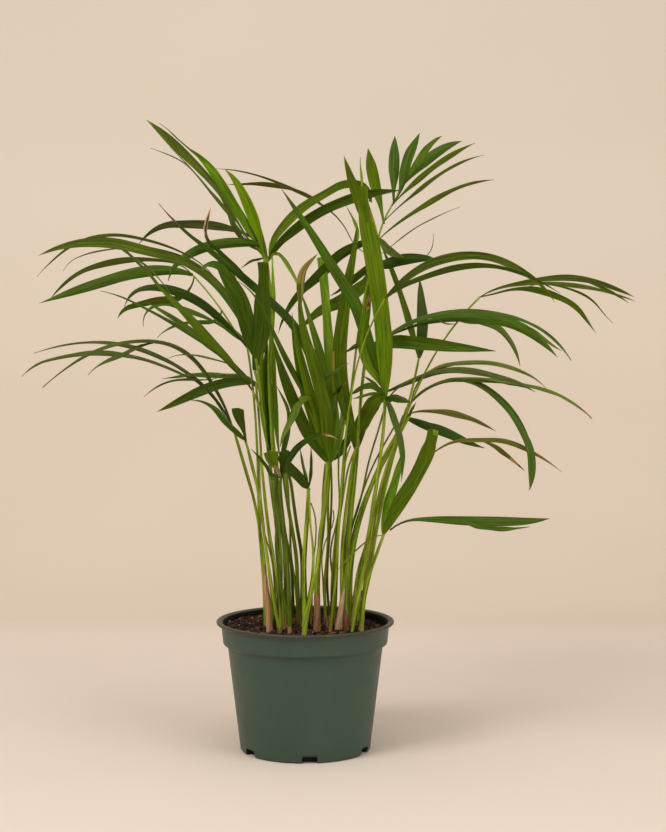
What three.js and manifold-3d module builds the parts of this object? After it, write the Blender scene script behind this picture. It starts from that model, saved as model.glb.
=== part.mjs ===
// Potted areca palm: one clump of slender stems and pinnate fronds in a tapered nursery pot.
// Units mm, +Z up, origin at the centre of the pot's flat underside, +Y away from the viewer.
import * as THREE from "three";
import Module from "manifold-3d";

const wasm = await Module();
wasm.setup();
const { Manifold, Mesh: SolidMesh } = wasm;

// pot
const RIM_OD = 165; // outside of the rolled lip
const POT_HEIGHT = 120;
const LIP_HEIGHT = 3;
const LIP_REACH = 3.6; // how far the lip stands out from the collar
const COLLAR_OD = 156;
const COLLAR_FOOT_OD = 153;
const COLLAR_HEIGHT = 20;
const BODY_TOP_OD = 145;
const FOOT_OD = 121;
const WALL = 2.2;
const FLOOR = 3;
const NOTCHES = 6; // drain notches round the foot
const NOTCH_WIDTH = 14;
const NOTCH_HEIGHT = 6;
const NOTCH_DEPTH = 13;
const NOTCH_TURN = 4.6; // degrees off the front
const ROUND = 36; // facets round the pot
// root ball
const SOIL_Z = 113.7;
const SOIL_EDGE_DROP = 2.5;
const GAP = 0.3; // clearance between neighbouring solids
// plant
const STEM_FOOT_Z = 114; // flat cut at the ground
const LEAF_THICK = 1.7; // ridge height of a leaflet
const LEAF_FULL = 9; // a leaflet seen edge on is at least this wide across
const DEPTH_POWER = 1.2; // a leaflet leaves its stem slowly in depth
const STEM_SIDES = 5;
const FOOT_HALF = 1.3; // half width of a leaflet's foot
const FOOT_SINK = 0.8;
const EYE_Z = 400; // leaflets above show their undersides, those below their faces
const KNOB = 2.8; // joint at the head of a stem

// A leaflet row: foot x, foot z, foot y, tip y, length in the XZ plane, seen width, end width
// (0 pointed, 1 cut off), headings from foot to tip in degrees (0 = +X, 90 = up).
// A stem row: foot x, foot y, top y, length, foot diameter, top diameter, headings.
// tables begin
const FRONDS = {
  left_long: [
    [-54.2, 372.2, 24, 56, 87.4, 1.9, 0, [129, 123, 129, 134]],
    [-107.7, 441.1, 56, 70, 154.1, 10.7, 0, [161, 185, 197, 197, 199]],
    [-107.7, 441.1, 56, 120, 161.9, 4.9, 0, [135, 177, 186, 207, 233]],
    [-54.2, 372.2, 24, -30, 138.2, 8.9, 0, [128, 134, 151, 175, 257]],
    [-106.5, 439.8, 55.2, 12, 86.6, 6.2, 0, [-89, -170, -173, -120]],
    [-60.5, 380, 21.7, 66, 118.3, 4.8, 0, [141, 154, 167, 275]],
    [-79.6, 407.8, 37.9, -8, 66.4, 4.7, 0, [-101, -191, -159, -129]],
  ],
  fan_ne: [
    [62.9, 452.8, 38, 52, 76.4, 1.9, 0, [76, 76, 61, 60]],
    [68.1, 473.7, 41.1, 14, 84.6, 11.4, 0, [66, 100, 102, 105]],
    [78.8, 501.8, 46.8, 92, 75.3, 10.8, 0, [66, 90, 89, 84]],
    [83.8, 510.9, 48.9, 66, 70.7, 9.7, 0, [54, 83, 66, 62]],
    [90.7, 524.7, 51.7, 104, 68, 6.9, 0, [61, 57, 53, 31]],
    [90.7, 524.7, 51.7, 136, 82.8, 9.9, 0, [50, 47, 36, 18]],
    [81.1, 506, 47.7, 18, 95.9, 5.7, 0, [50, 42, 32, 19]],
    [73.5, 491.1, 44.4, 78, 119.2, 3.9, 0, [46, 41, 32, 11]],
    [68.1, 473.7, 41.1, -6, 119.8, 5.1, 0, [43, 34, 25, -1]],
    [69, 474.5, 40.9, -24, 28.9, 6.6, 0, [-55, -46, -21]],
    [62.9, 452.8, 38, 8, 63.2, 10.5, 0, [-23, 21, -2, -19]],
  ],
  fan_ne_left: [
    [62.9, 452.8, 43.8, 46, 21.8, 1.9, 0, [80, 74, 74]],
    [68.4, 473.9, 46, 66, 137.5, 5.8, 0, [-181, -136, -133, -104]],
    [67.9, 472.1, 45.8, 92, 89.3, 4.9, 0, [-176, -149, -129, -146]],
    [64.1, 458.8, 44.3, 100, 181.6, 2.9, 0, [151, 121, 157, 158, 179]],
    [14.4, 509.7, 62.6, 58, 92.5, 4.4, 0, [141, 164, 178, 188]],
    [62.9, 452.8, 43.8, 72, 51, 7.8, 0, [-133, -145, -139, -151]],
    [58.8, 448.7, 45.9, 96, 93.7, 12.7, 0, [-79, -155, -152, -126]],
  ],
  fan_nw_left: [
    [-38.1, 455.8, 8, 8, 11, 2.8, 0, [99, 99, 99]],
    [-38.1, 455.8, 8, -62, 83.4, 9.7, 0, [98, 108, 113, 137]],
    [-38.1, 455.8, 8, 20, 126.6, 8, 0, [119, 119, 123, 147]],
    [-40, 459.3, 8.2, -22, 159.2, 7, 0, [136, 116, 130, 137, 142]],
    [-42.2, 461.5, 8.3, 95, 153.7, 2.3, 0, [133, 129, 126, 142, 166]],
    [-39.8, 466.7, 8, 128, 139, 7.2, 0, [136, 171, 179, 230]],
    [-39.8, 466.7, 8, -50, 97.8, 9.3, 0, [164, 188, 208, 260]],
  ],
  back_low_right: [
    [95.3, 304.6, 70.7, 166, 92.4, 8.1, 0, [-22, -22, -27, -21]],
    [101.3, 319.1, 72, 176, 207.8, 4.4, 0, [51, 1, -8, -20, -48]],
    [135.8, 340, 86.9, 222, 174.1, 4.9, 0, [6, -34, -52, -71, -102]],
    [101.3, 319.1, 72, 222, 173.9, 2.9, 0, [85, 18, -3, -18, -43]],
  ],
  fan_nw_right: [
    [-32.5, 456.3, 8, 75, 140.3, 8.7, 0.5, [87, 38, 36, -72]],
    [-32.5, 456.3, 8, -58, 136.2, 8.3, 0, [61, 36, 26, 12, -3]],
  ],
  front_left: [
    [-43.8, 364.1, -36, -92, 85.2, 16.2, 0.6, [73, 84, 86, 91]],
    [-43.8, 364.1, -36, -66, 106.1, 15.4, 0.2, [99, 109, 108, 203]],
    [-44.3, 367.4, -36.5, -104, 232.6, 8.5, 0, [107, 123, 164, 172, 212]],
    [-74.5, 427.7, -51.9, -40, 192.8, 2.7, 0, [119, 156, 169, 205, 234]],
  ],
  left_mid: [
    [-48.1, 334.9, -20, -74, 133.5, 8.2, 0, [122, 131, 131, 133, 129]],
    [-48.1, 334.9, -20, -136, 153.4, 3.1, 0, [128, 134, 146, 150, 166]],
    [-58.3, 349.8, -24.9, 26, 113.8, 5.2, 0, [136, 140, 147, 154]],
  ],
  left_low: [
    [-66, 299.4, -12, -112, 213.7, 3.4, 0, [109, 118, 170, 206, 227]],
    [-129, 378.7, -55.5, -98, 65.5, 4.1, 0, [-180, -153, -157, -127]],
    [-66, 299.4, -12, -52, 207.8, 3.5, 0, [114, 137, 158, 180, 203]],
    [-94.4, 339.9, -19.2, 50, 186.5, 3.6, 0, [151, 161, 178, 191, 219]],
  ],
  left_cut: [
    [-52.3, 289.2, -52, -72, 32.2, 10.8, 1, [92, 108, 91]],
    [-52.4, 291.2, -52.7, -118, 61, 5.3, 0, [135, 127, 131, 186]],
  ],
  left_rear: [
    [-47.6, 338.7, 46, 96, 95.5, 5.9, 0, [150, 181, 182, 196]],
    [-47.6, 338.7, 46, 68, 102.5, 9.7, 0, [168, 196, 207, 206]],
  ],
  centre: [
    [21.6, 264.8, -15, -84, 167.6, 11.8, 0.3, [93, 94, 108, 103, 86]],
    [21.4, 268.3, -15.7, 30, 161.8, 9.4, 0, [90, 90, 100, 108, 110]],
    [22.1, 267.4, -14.1, 10, 134.6, 8.4, 0, [86, 95, 101, 107]],
    [21.6, 264.8, -15, -70, 144.2, 9.1, 0, [104, 104, 104, 102, 97]],
    [21.3, 270, -16.1, -60, 127.5, 11, 0, [109, 107, 103, 100]],
    [21, 275.3, -17.5, -34, 287.8, 8.3, 0, [95, 101, 137, 143, 133]],
    [-45.7, 428.4, -26.5, -58, 86.2, 2.7, 0, [124, 142, 123, 42]],
    [21.4, 280.1, -13.7, -112, 174.3, 5.4, 0, [108, 113, 119, 111, 148]],
    [20.5, 269.2, -15.9, -96, 124.1, 10.9, 0, [129, 113, 108, 104]],
    [21.6, 264.8, -15, 36, 60, 6.6, 0.4, [68, 70, 83, 99]],
    [23.5, 269.4, -12.4, 16, 30.4, 9.4, 0.4, [46, 49, 61]],
    [23.9, 269.9, -12.1, 72, 189.6, 10.5, 0.8, [83, 92, 96, 94, 97]],
    [15.2, 322.9, -19.4, -124, 63.5, 5.4, 0, [98, 226, 249, 250]],
  ],
  mid_tall: [
    [47, 279.1, 0, -38, 208.8, 13, 0, [104, 102, 84, 79, 83]],
    [45.1, 461.3, -32.8, -20, 43.4, 3.7, 0, [61, 106, 130]],
    [47, 279.1, 0, -54, 59, 13.8, 0.7, [91, 70, 64, 30]],
  ],
  star_up: [
    [72.3, 330.6, -56, -112, 183.5, 15.1, 0.6, [90, 94, 99, 102, 96]],
    [54.2, 482.1, -101, -128, 57.6, 8.7, 0, [111, 108, 111, 108]],
    [72.3, 332.5, -56.2, -30, 207.3, 11, 0, [108, 106, 121, 123, 126]],
    [71, 336.6, -55.9, -84, 115.5, 7.2, 0, [135, 100, 76, 82]],
  ],
  star_low: [
    [72.3, 329.6, -61.8, -36, 40.5, 4.5, 0, [104, 187, 239]],
    [72.3, 329.6, -61.8, -104, 20.3, 6.2, 0, [16, -13, -14]],
    [72.3, 329.6, -61.8, -158, 68.8, 5.2, 0, [-65, -70, -89, -105]],
    [75.4, 330.2, -66.3, -122, 133.4, 5.3, 0, [51, 21, -1, -15, -32]],
  ],
  right_mid: [
    [55, 366, -34, -104, 203.4, 3.8, 0, [49, 25, -1, -22, -64]],
    [71.9, 382, -39.2, -66, 167.2, 6.4, 0, [27, 15, -2, -24, -56]],
    [126.2, 400.2, -46.6, -26, 92, 7.3, 0, [-4, -3, -52, -80]],
    [55, 366, -34, -118, 114.2, 11.6, 0, [50, -7, -5, -6]],
    [59.2, 370.2, -36.4, -50, 27.5, 5.5, 0, [116, 195, 226]],
  ],
  right_top: [
    [70.8, 416.6, -96, -58, 178.7, 6.1, 0, [53, 28, -2, -30, -54]],
    [71.9, 418.1, -95.8, -136, 156.7, 5.6, 0, [38, 19, 5, -22, -34]],
  ],
  right_up: [
    [107.5, 362.3, 50, 146, 78.6, 10.9, 0, [77, 83, 91, 90]],
    [107.5, 362.3, 50, 60, 117.8, 5.8, 0, [103, 106, 110, 117]],
  ],
  right_long: [
    [163.2, 420, 22, 46, 153.9, 5.2, 0, [31, 11, 3, -16, -27]],
    [170.2, 423.9, 22.7, 88, 152.4, 4.7, 0, [21, 7, -4, -13, -22]],
    [163.2, 420, 22, -34, 117.4, 5.6, 0, [19, 2, -34, -69]],
  ],
  right_front: [
    [96.5, 324.2, -30, 66, 157.9, 3.4, 0, [84, 21, -3, -17, -44]],
    [96.5, 324.2, -30, -114, 167.6, 4.9, 0, [54, 7, -6, -17, -53]],
    [126.4, 344, -43.6, -148, 130.3, 5.3, 0, [12, -31, -54, -78, -117]],
  ],
  right_spear: [
    [91, 310.5, -12, 66, 96.9, 6.1, 0, [20, -7, -21, -35]],
    [91, 310.5, -12, -58, 74.2, 9.2, 0.1, [-25, -17, -24, -17]],
  ],
  right_low: [
    [71.4, 203.5, -36, -16, 76.3, 9.2, 0, [88, 75, 72, 77]],
    [71.5, 205.1, -35.8, -84, 107.3, 12.6, 0.8, [67, 60, 65, 84]],
    [106.2, 273.9, -68.2, -128, 127.4, 4, 0, [51, 15, -2, -27, -41]],
    [145.5, 293.6, -85.4, -66, 60.5, 4.9, 0, [5, -27, -41, -47]],
    [72.4, 207.2, -36.3, -98, 137.3, 7.7, 0, [42, 5, -6, 5, 8]],
    [147.6, 219.6, -67.9, -90, 51.2, 5, 0, [-19, -6, 3, 11]],
  ],
  front_cut: [
    [-20.8, 258.5, -60, -74, 26, 13, 1, [114, 114, 96]],
    [-20.8, 258.5, -60, -116, 72, 5.7, 0, [74, 58, 29, -29]],
    [-20.8, 258.5, -60, -57, 24.4, 11.3, 0.5, [71, 80, 91]],
    [-20.8, 258.5, -60, -86, 37.4, 3.1, 0, [162, 114, 144]],
  ],
  front_low: [
    [4, 250, -72, -100, 28.3, 8.3, 0.9, [129, 129, 133]],
    [4, 250, -72, -80, 37.6, 2.9, 0, [97, 104, 98]],
  ],
  back_nw: [
    [-35.8, 453, 28.3, 150, 108.9, 7.3, 0, [107, 111, 116, 136]],
    [-38.2, 460.6, 33.6, 212, 147.3, 6.9, 0, [127, 120, 125, 145]],
    [-40.7, 468.1, 40.4, 196, 116.9, 8.1, 0, [163, 184, 200, 246]],
    [-35.8, 453, 28.3, 204, 159.4, 8.1, 0, [65, 41, 31, 18, 5]],
    [-40, 463.1, 35.3, 112, 178.1, 5.9, 0, [-197, -256, -224, -226, -217]],
  ],
  back_left: [
    [-49.3, 350.5, 58, 176, 107.5, 14.5, 0, [78, 86, 91, 95]],
    [-47, 362.6, 66.8, 222, 124.9, 13.9, 0, [105, 114, 115, 203]],
    [-47.7, 365.1, 68.3, 176, 278.8, 7.7, 0, [108, 129, 166, 172, 208]],
    [-45.2, 333.6, 57.4, 150, 156.6, 7.2, 0, [145, 133, 135, 137, 133]],
    [-50.6, 373.3, 70, 110, 155.8, 7.5, 0, [150, 133, 154, 175, 251]],
  ],
  back_low_left: [
    [-70.3, 294.5, 66, 196, 260.1, 3.1, 0, [109, 129, 180, 206, 221]],
    [-70.3, 294.5, 66, 158, 239.1, 3.1, 0, [115, 142, 162, 183, 200]],
    [-101.4, 336.1, 80.8, 228, 211.9, 3.1, 0, [152, 162, 179, 191, 218]],
  ],
  back_centre: [
    [21.2, 259.8, 51.8, 214, 179.8, 10.6, 0, [92, 96, 110, 103, 88]],
    [21.6, 262.9, 52, 186, 135.2, 9.7, 0, [110, 109, 105, 102]],
    [20.8, 269.2, 56.5, 158, 315.3, 7.2, 0, [94, 103, 139, 143, 133]],
    [21.4, 261.4, 51.9, 206, 133.1, 9.7, 0, [132, 117, 112, 108]],
    [21.6, 262.9, 52, 184, 200.9, 8.9, 0, [77, 92, 96, 94, 97]],
    [14.4, 321.3, 68.3, 150, 79.7, 4.8, 0, [124, 248, 242, 258]],
  ],
  back_tall: [
    [48.1, 275.6, 48, 196, 225.9, 11.3, 0, [106, 101, 83, 79, 83]],
    [48, 273.9, 48.1, 132, 59.5, 11.9, 0, [92, 66, 56, 20]],
  ],
  back_right: [
    [75.4, 324.8, 58, 222, 214.7, 13.9, 0, [88, 93, 97, 100, 94]],
    [75.5, 329.3, 59.6, 170, 227.8, 9.7, 0, [108, 106, 122, 122, 126]],
    [75.5, 329.3, 59.6, 120, 159, 4.8, 0, [25, 21, -6, -15, -32]],
    [75.4, 324.8, 58, 206, 99.3, 4.9, 0, [-62, -70, -84, -94]],
    [60.2, 498.2, 185.8, 214, 74.1, 8.4, 0, [111, 107, 109, 106]],
  ],
  back_mid_right: [
    [56.8, 363.7, 34, 170, 241, 3.4, 0, [51, 20, -2, -22, -57]],
    [56.8, 363.7, 34, 98, 133.3, 11.4, 0, [50, -10, -5, -7]],
    [131.9, 405.4, 74.5, 206, 113, 6.5, 0, [-24, 1, -48, -72]],
  ],
  back_spear: [
    [74, 193.9, 43.9, 130, 75.8, 7.9, 0, [88, 72, 69, 74]],
    [74.7, 195.5, 44, 204, 106, 11.3, 0, [64, 49, 55, 76]],
  ],
};
const STEMS = {
  fan_nw: [-13.4, 4, 8, 343.2, 5, 3.4, [93, 97, 96, 87, 100]],
  front_left: [-27.4, -24, -36, 251.7, 5, 3.4, [81, 90, 99, 96, 99]],
  left_long: [-36.7, 2, 24, 258.9, 5, 2.8, [92, 95, 91, 94, 99]],
  left_mid: [-19.6, -8, -20, 223.9, 4.4, 3, [94, 94, 95, 95, 117]],
  left_low: [-31.6, -34, -12, 189.3, 5, 2.8, [96, 94, 100, 106, 108]],
  left_cut: [-22.2, -44, -52, 178, 4.4, 3, [100, 99, 97, 99, 108]],
  left_rear: [-23.5, 30, 46, 226.1, 4, 3, [97, 99, 96, 93, 96]],
  centre: [11.1, -28, -15, 151.5, 6, 4, [90, 91, 82, 87, 78]],
  mid_tall: [30.4, -22, 0, 166.1, 5.2, 3.4, [82, 82, 89, 81, 88]],
  star: [43.3, -12, -56, 218.8, 6, 4, [84, 78, 82, 83, 89]],
  fan_ne: [25.8, 26, 38, 341.3, 4.6, 3, [90, 84, 85, 83, 76]],
  right_mid: [38.5, -30, -34, 252.7, 4.6, 3, [92, 87, 84, 87, 82]],
  right_top: [23, -34, -96, 309, 3.6, 2, [83, 87, 86, 80, 59]],
  right_up: [48.5, 28, 50, 255.4, 4.6, 3, [74, 80, 77, 73, 79]],
  right_long: [44.5, 14, 22, 333.5, 4.4, 2.4, [78, 79, 72, 63, 44]],
  right_front: [51.8, -2, -30, 215.9, 4.6, 3, [87, 82, 80, 73, 67]],
  right_spear: [37.9, 8, -12, 206.3, 9, 5, [88, 86, 73, 61, 71]],
  right_low: [51.4, -26, -36, 92.2, 6, 3.6, [85, 85, 76, 70, 72]],
  front_cut: [-13.2, -44, -60, 145, 5, 3.6, [91, 91, 94, 100, 83]],
  front_low: [-0.5, -46, -72, 136.2, 5, 3.4, [88, 92, 88, 85, 87]],
  back_nw: [-17.6, 56, 28, 343.5, 4.6, 3, [89, 97, 95, 87, 98]],
  back_left: [-27, 50, 58, 238.6, 4.6, 3, [82, 93, 99, 96, 105]],
  back_low_left: [-34.8, 26, 66, 184.7, 4.6, 3, [95, 95, 101, 107, 108]],
  back_centre: [10.5, 42, 52, 149.4, 5, 3.4, [88, 88, 82, 87, 84]],
  back_tall: [32.5, 54, 48, 162.4, 4.6, 3.2, [82, 84, 88, 81, 88]],
  back_right: [43.9, 44, 58, 213.4, 5, 3.4, [83, 76, 82, 82, 89]],
  back_mid_right: [37.2, 34, 34, 250.5, 4.6, 3, [88, 86, 84, 87, 82]],
  back_low_right: [40.2, 54, 72, 215.9, 4.6, 3, [49, 82, 78, 76, 66]],
  back_spear: [49.6, 40, 44, 85.4, 4.6, 3, [72, 75, 77, 70, 67]],
};
const BUNDLE = [-32.9, 278.3, -31.9, -24, 102, 11.1, 0.5, [86, 91, 91, 89]];
// tables end

const rad = (d) => (d * Math.PI) / 180;
const lerp = (a, b, t) => a + (b - a) * t;

function heading(list, s) {
  const t = s * (list.length - 1),
    i = Math.min(Math.floor(t), list.length - 2);
  return rad(lerp(list[i], list[i + 1], t - i));
}

// centre line of a limb: walks along the headings in the XZ plane while the depth runs from y0 to y1
function centreLine(x, z, y0, y1, length, headings, power, stations) {
  const fine = 96,
    pts = [[x, y0, z]];
  let px = x,
    pz = z;
  for (let i = 0; i < fine; i++) {
    const h = heading(headings, (i + 0.5) / fine);
    px += (Math.cos(h) * length) / fine;
    pz += (Math.sin(h) * length) / fine;
    pts.push([px, lerp(y0, y1, Math.pow((i + 1) / fine, power)), pz]);
  }
  return stations.map((s) => {
    const t = s * fine,
      i = Math.min(Math.floor(t), fine - 1);
    return new THREE.Vector3(...[0, 1, 2].map((k) => lerp(pts[i][k], pts[i + 1][k], t - i)));
  });
}

const tangents = (line) =>
  line.map((p, i) =>
    new THREE.Vector3()
      .subVectors(line[Math.min(i + 1, line.length - 1)], line[Math.max(i - 1, 0)])
      .normalize(),
  );

// closed solid through rings of equal count; a ring of one point closes to a tip
function loft(rings) {
  const v = [],
    f = [],
    start = [];
  for (const ring of rings) {
    start.push(v.length);
    for (const p of ring) v.push(p);
  }
  const tri = (a, b, c) => f.push([a, b, c]);
  for (let k = 0; k + 1 < rings.length; k++) {
    const a = rings[k],
      b = rings[k + 1],
      m = Math.max(a.length, b.length);
    for (let i = 0; i < m; i++) {
      const j = (i + 1) % m,
        A = start[k],
        B = start[k + 1];
      if (b.length === 1) tri(A + i, A + j, B);
      else if (a.length === 1) tri(A, B + j, B + i);
      else {
        tri(A + i, A + j, B + j);
        tri(A + i, B + j, B + i);
      }
    }
  }
  const cap = (k, flip) => {
    const n = rings[k].length,
      s = start[k];
    for (let i = 1; i + 1 < n; i++) flip ? tri(s, s + i + 1, s + i) : tri(s, s + i, s + i + 1);
  };
  cap(0, true);
  cap(rings.length - 1, false);
  const make = (faces) =>
    new Manifold(
      new SolidMesh({
        numProp: 3,
        vertProperties: new Float32Array(v.flatMap((p) => [p.x, p.y, p.z])),
        triVerts: new Uint32Array(faces.flat()),
      }),
    );
  const s = make(f);
  return s.volume() > 0 ? s : make(f.map(([a, b, c]) => [a, c, b]));
}

// how wide a leaflet is along its length, 0..1
function leafProfile(s, end) {
  const rise = 1 - 0.72 * Math.pow(1 - Math.min(s / 0.34, 1), 2),
    fall = s < 0.42 ? 1 : 1 - Math.pow((s - 0.42) / 0.58, 1.9);
  return rise * Math.max(fall, s < 0.42 ? 0 : end);
}

function bend(headings) {
  let sum = 0;
  for (let i = 1; i < headings.length; i++) sum += Math.abs(headings[i] - headings[i - 1]);
  return sum;
}

// places along a limb where another leaflet of the same frond springs from it
function joints(limb, power, rows) {
  const [x, z, y0, y1, length, headings] = limb,
    fine = Array.from({ length: 97 }, (_, i) => i / 96),
    line = centreLine(x, z, y0, y1, length, headings, power, fine),
    found = [];
  for (const [fx, fz, fy] of rows) {
    const foot = new THREE.Vector3(fx, fy, fz),
      d = line.map((p) => p.distanceTo(foot)),
      best = Math.min(...d),
      s = fine[d.indexOf(best)];
    if (best < 1.2 && s > 0.03 && s < 0.985) found.push(s);
  }
  return found;
}

function mixStations(n, extra, close) {
  const list = Array.from({ length: n + 1 }, (_, i) => i / n).filter(
    (s, i) => i === 0 || i === n || !extra.some((e) => Math.abs(e - s) < close),
  );
  for (const e of extra) if (!list.some((s) => Math.abs(s - e) < 0.012)) list.push(e);
  return list.sort((a, b) => a - b);
}

// thin three-cornered blade that follows the row's centre line; grow widens it for clearance
function leaflet([x, z, y0, y1, length, width, end, headings], grow = 0, rows = []) {
  const n = Math.max(2, Math.min(5, Math.round(0.9 + bend(headings) / 44 + length / 190)));
  const stations = mixStations(n, joints([x, z, y0, y1, length, headings], DEPTH_POWER, rows), 0.45 / n);
  const line = centreLine(x, z, y0, y1, length, headings, DEPTH_POWER, stations),
    tan = tangents(line);
  const full = Math.max(width, Math.min(LEAF_FULL, width * 2)),
    last = line[line.length - 1],
    lean = (line[0].z + last.z > 2 * EYE_Z ? 1 : -1) * (last.x < line[0].x ? -1 : 1),
    roll = lean * Math.acos(Math.min(1, width / full));
  const frames = tan.map((T) => {
    const N = new THREE.Vector3(-T.z, 0, T.x).normalize(), // across the limb in the XZ plane
      D = new THREE.Vector3().crossVectors(T, N),
      side = N.clone().multiplyScalar(Math.cos(roll)).addScaledVector(D, Math.sin(roll));
    return { side, up: new THREE.Vector3().crossVectors(T, side).normalize() };
  });
  if (frames.reduce((sum, f) => sum + f.up.z, 0) < 0)
    frames.forEach((f) => {
      f.side.negate();
      f.up.negate();
    });
  const rings = line.map((p, i) => {
    const s = stations[i],
      { side, up } = frames[i];
    if (s >= 1 && !end && !grow) return [p.clone()];
    const w = Math.max((full / 2) * leafProfile(s, end), s ? 0 : FOOT_HALF) + grow + (s >= 1 ? 0.2 : 0),
      t = LEAF_THICK * (0.55 + 0.45 * Math.min(1, 6 * (1 - s) + 0.2)) + 2 * grow;
    // the foot is sunk a little into what it springs from
    const c = p.clone().addScaledVector(tan[i], i === 0 ? -FOOT_SINK - grow : i === line.length - 1 ? grow : 0);
    return [
      c.clone().addScaledVector(side, -w).addScaledVector(up, -t * 0.5),
      c.clone().addScaledVector(side, w).addScaledVector(up, -t * 0.5),
      c.clone().addScaledVector(up, t * 0.5),
    ];
  });
  return loft(rings);
}

function stem([x, y0, y1, length, d0, d1, headings], grow = 0, rows = []) {
  const n = Math.max(2, Math.min(5, Math.round(1.4 + bend(headings) / 18)));
  const stations = mixStations(n, joints([x, STEM_FOOT_Z, y0, y1, length, headings], 1, rows), 0.4 / n);
  const line = centreLine(x, STEM_FOOT_Z, y0, y1, length, headings, 1, stations),
    tan = tangents(line);
  return loft(
    line.map((p, i) => {
      const T = i ? tan[i] : new THREE.Vector3(0, 0, 1), // the foot is cut flat at the ground
        A = new THREE.Vector3().crossVectors(new THREE.Vector3(0, 1, 0), T).normalize(),
        B = new THREE.Vector3().crossVectors(T, A),
        r = lerp(d0, d1, Math.min(1, stations[i] * 1.35)) / 2 + grow;
      return Array.from({ length: STEM_SIDES }, (_, k) => {
        const a = (k / STEM_SIDES) * 2 * Math.PI;
        return p.clone().addScaledVector(A, Math.cos(a) * r).addScaledVector(B, Math.sin(a) * r);
      });
    }),
  );
}

// where the leaflets spring from: a small knob that joins them
function knob(p, r) {
  const ico = new THREE.OctahedronGeometry(r, 0),
    pos = ico.getAttribute("position"),
    seen = new Map(),
    v = [],
    f = [];
  for (let i = 0; i < pos.count; i++) {
    const key = [pos.getX(i), pos.getY(i), pos.getZ(i)].map((c) => c.toFixed(3)).join();
    if (!seen.has(key)) {
      seen.set(key, v.length / 3);
      v.push(pos.getX(i) + p.x, pos.getY(i) + p.y, pos.getZ(i) + p.z);
    }
    f.push(seen.get(key));
  }
  return new Manifold(new SolidMesh({ numProp: 3, vertProperties: new Float32Array(v), triVerts: new Uint32Array(f) }));
}

const lighten = (s) => {
  const light = s.simplify(0.25);
  return light.decompose().length === 1 ? light : s;
};
const union = (list) => (list.length === 1 ? list[0] : Manifold.union(list));
const largest = (s, name) => {
  const parts = s.decompose().sort((a, b) => b.volume() - a.volume());
  return parts[0];
};

function lathe(profile, facets = ROUND) {
  const rings = profile.map(([r, z]) =>
    Array.from({ length: facets }, (_, k) => {
      const a = (k / facets) * 2 * Math.PI;
      return new THREE.Vector3(r * Math.cos(a), r * Math.sin(a), z);
    }),
  );
  return loft(rings);
}

const half = (d) => d / 2;
const bodyRadius = (z) => lerp(half(FOOT_OD), half(BODY_TOP_OD), z / (POT_HEIGHT - COLLAR_HEIGHT));
const innerRadius = (z) =>
  z < POT_HEIGHT - COLLAR_HEIGHT ? bodyRadius(z) - WALL : lerp(half(COLLAR_FOOT_OD), half(COLLAR_OD), (z - (POT_HEIGHT - COLLAR_HEIGHT)) / COLLAR_HEIGHT) - WALL;

function makePot() {
  const crease = POT_HEIGHT - COLLAR_HEIGHT;
  const outside = lathe([
    [half(FOOT_OD), 0],
    [bodyRadius(crease - 3), crease - 3],
    [half(COLLAR_FOOT_OD), crease + 1.5],
    [half(COLLAR_OD), POT_HEIGHT - LIP_HEIGHT - 1],
    [half(COLLAR_OD) + LIP_REACH, POT_HEIGHT - LIP_HEIGHT],
    [half(RIM_OD), POT_HEIGHT - LIP_HEIGHT / 2],
    [half(RIM_OD) - 1.2, POT_HEIGHT],
    [half(COLLAR_OD) - 0.6, POT_HEIGHT],
  ]);
  const inside = lathe([
    [innerRadius(FLOOR), FLOOR],
    [innerRadius(crease - 4), crease - 4],
    [innerRadius(crease + 1), crease + 1],
    [innerRadius(POT_HEIGHT - 2), POT_HEIGHT - 2],
    [half(COLLAR_OD) - 0.7, POT_HEIGHT + 0.5],
  ]);
  let pot = outside.subtract(inside);
  for (let k = 0; k < NOTCHES; k++) {
    const a = -90 + NOTCH_TURN + (360 / NOTCHES) * k,
      cut = Manifold.cube([NOTCH_DEPTH, NOTCH_WIDTH, NOTCH_HEIGHT * 2], true)
        .translate([half(FOOT_OD), 0, 0])
        .rotate([0, 0, a]);
    pot = pot.subtract(cut);
  }
  return pot;
}

function makeRootBall() {
  const crease = POT_HEIGHT - COLLAR_HEIGHT,
    r = (z) => innerRadius(z) - GAP;
  const edge = SOIL_Z - SOIL_EDGE_DROP;
  let ball = lathe(
    [
      [r(FLOOR), FLOOR + GAP],
      [r(crease - 4), crease - 4.4],
      [r(crease + 1) - 0.2, crease + 1.4],
      [r(edge) - 0.1, edge],
      [r(edge) - 9, SOIL_Z],
    ],
    ROUND,
  );
  // the notches also bite into the foot of the ball, so keep it clear of them
  for (let k = 0; k < NOTCHES; k++) {
    const a = -90 + NOTCH_TURN + (360 / NOTCHES) * k;
    ball = ball.subtract(
      Manifold.cube([NOTCH_DEPTH + 2 * GAP, NOTCH_WIDTH + 2 * GAP, (NOTCH_HEIGHT + GAP) * 2], true)
        .translate([half(FOOT_OD), 0, 0])
        .rotate([0, 0, a]),
    );
  }
  return ball;
}

const palette = {
  pot: new THREE.Color(0x42503c),
  soil: new THREE.Color(0x3a2c20),
  stem: new THREE.Color(0x7f9438),
  leaf: new THREE.Color(0x3f5a24),
};
const group = new THREE.Group();
function add(name, solid, colour) {
  const m = solid.getMesh(),
    g = new THREE.BufferGeometry();
  g.setAttribute("position", new THREE.BufferAttribute(new Float32Array(m.vertProperties), 3));
  g.setIndex(new THREE.BufferAttribute(new Uint32Array(m.triVerts), 1));
  const mesh = new THREE.Mesh(g, new THREE.MeshStandardMaterial({ color: colour, roughness: 0.6 }));
  mesh.name = name;
  group.add(mesh);
}

const STEM_OF = { fan_nw_left: "fan_nw", fan_nw_right: "fan_nw", fan_ne_left: "fan_ne", star_up: "star", star_low: "star" };

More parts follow.
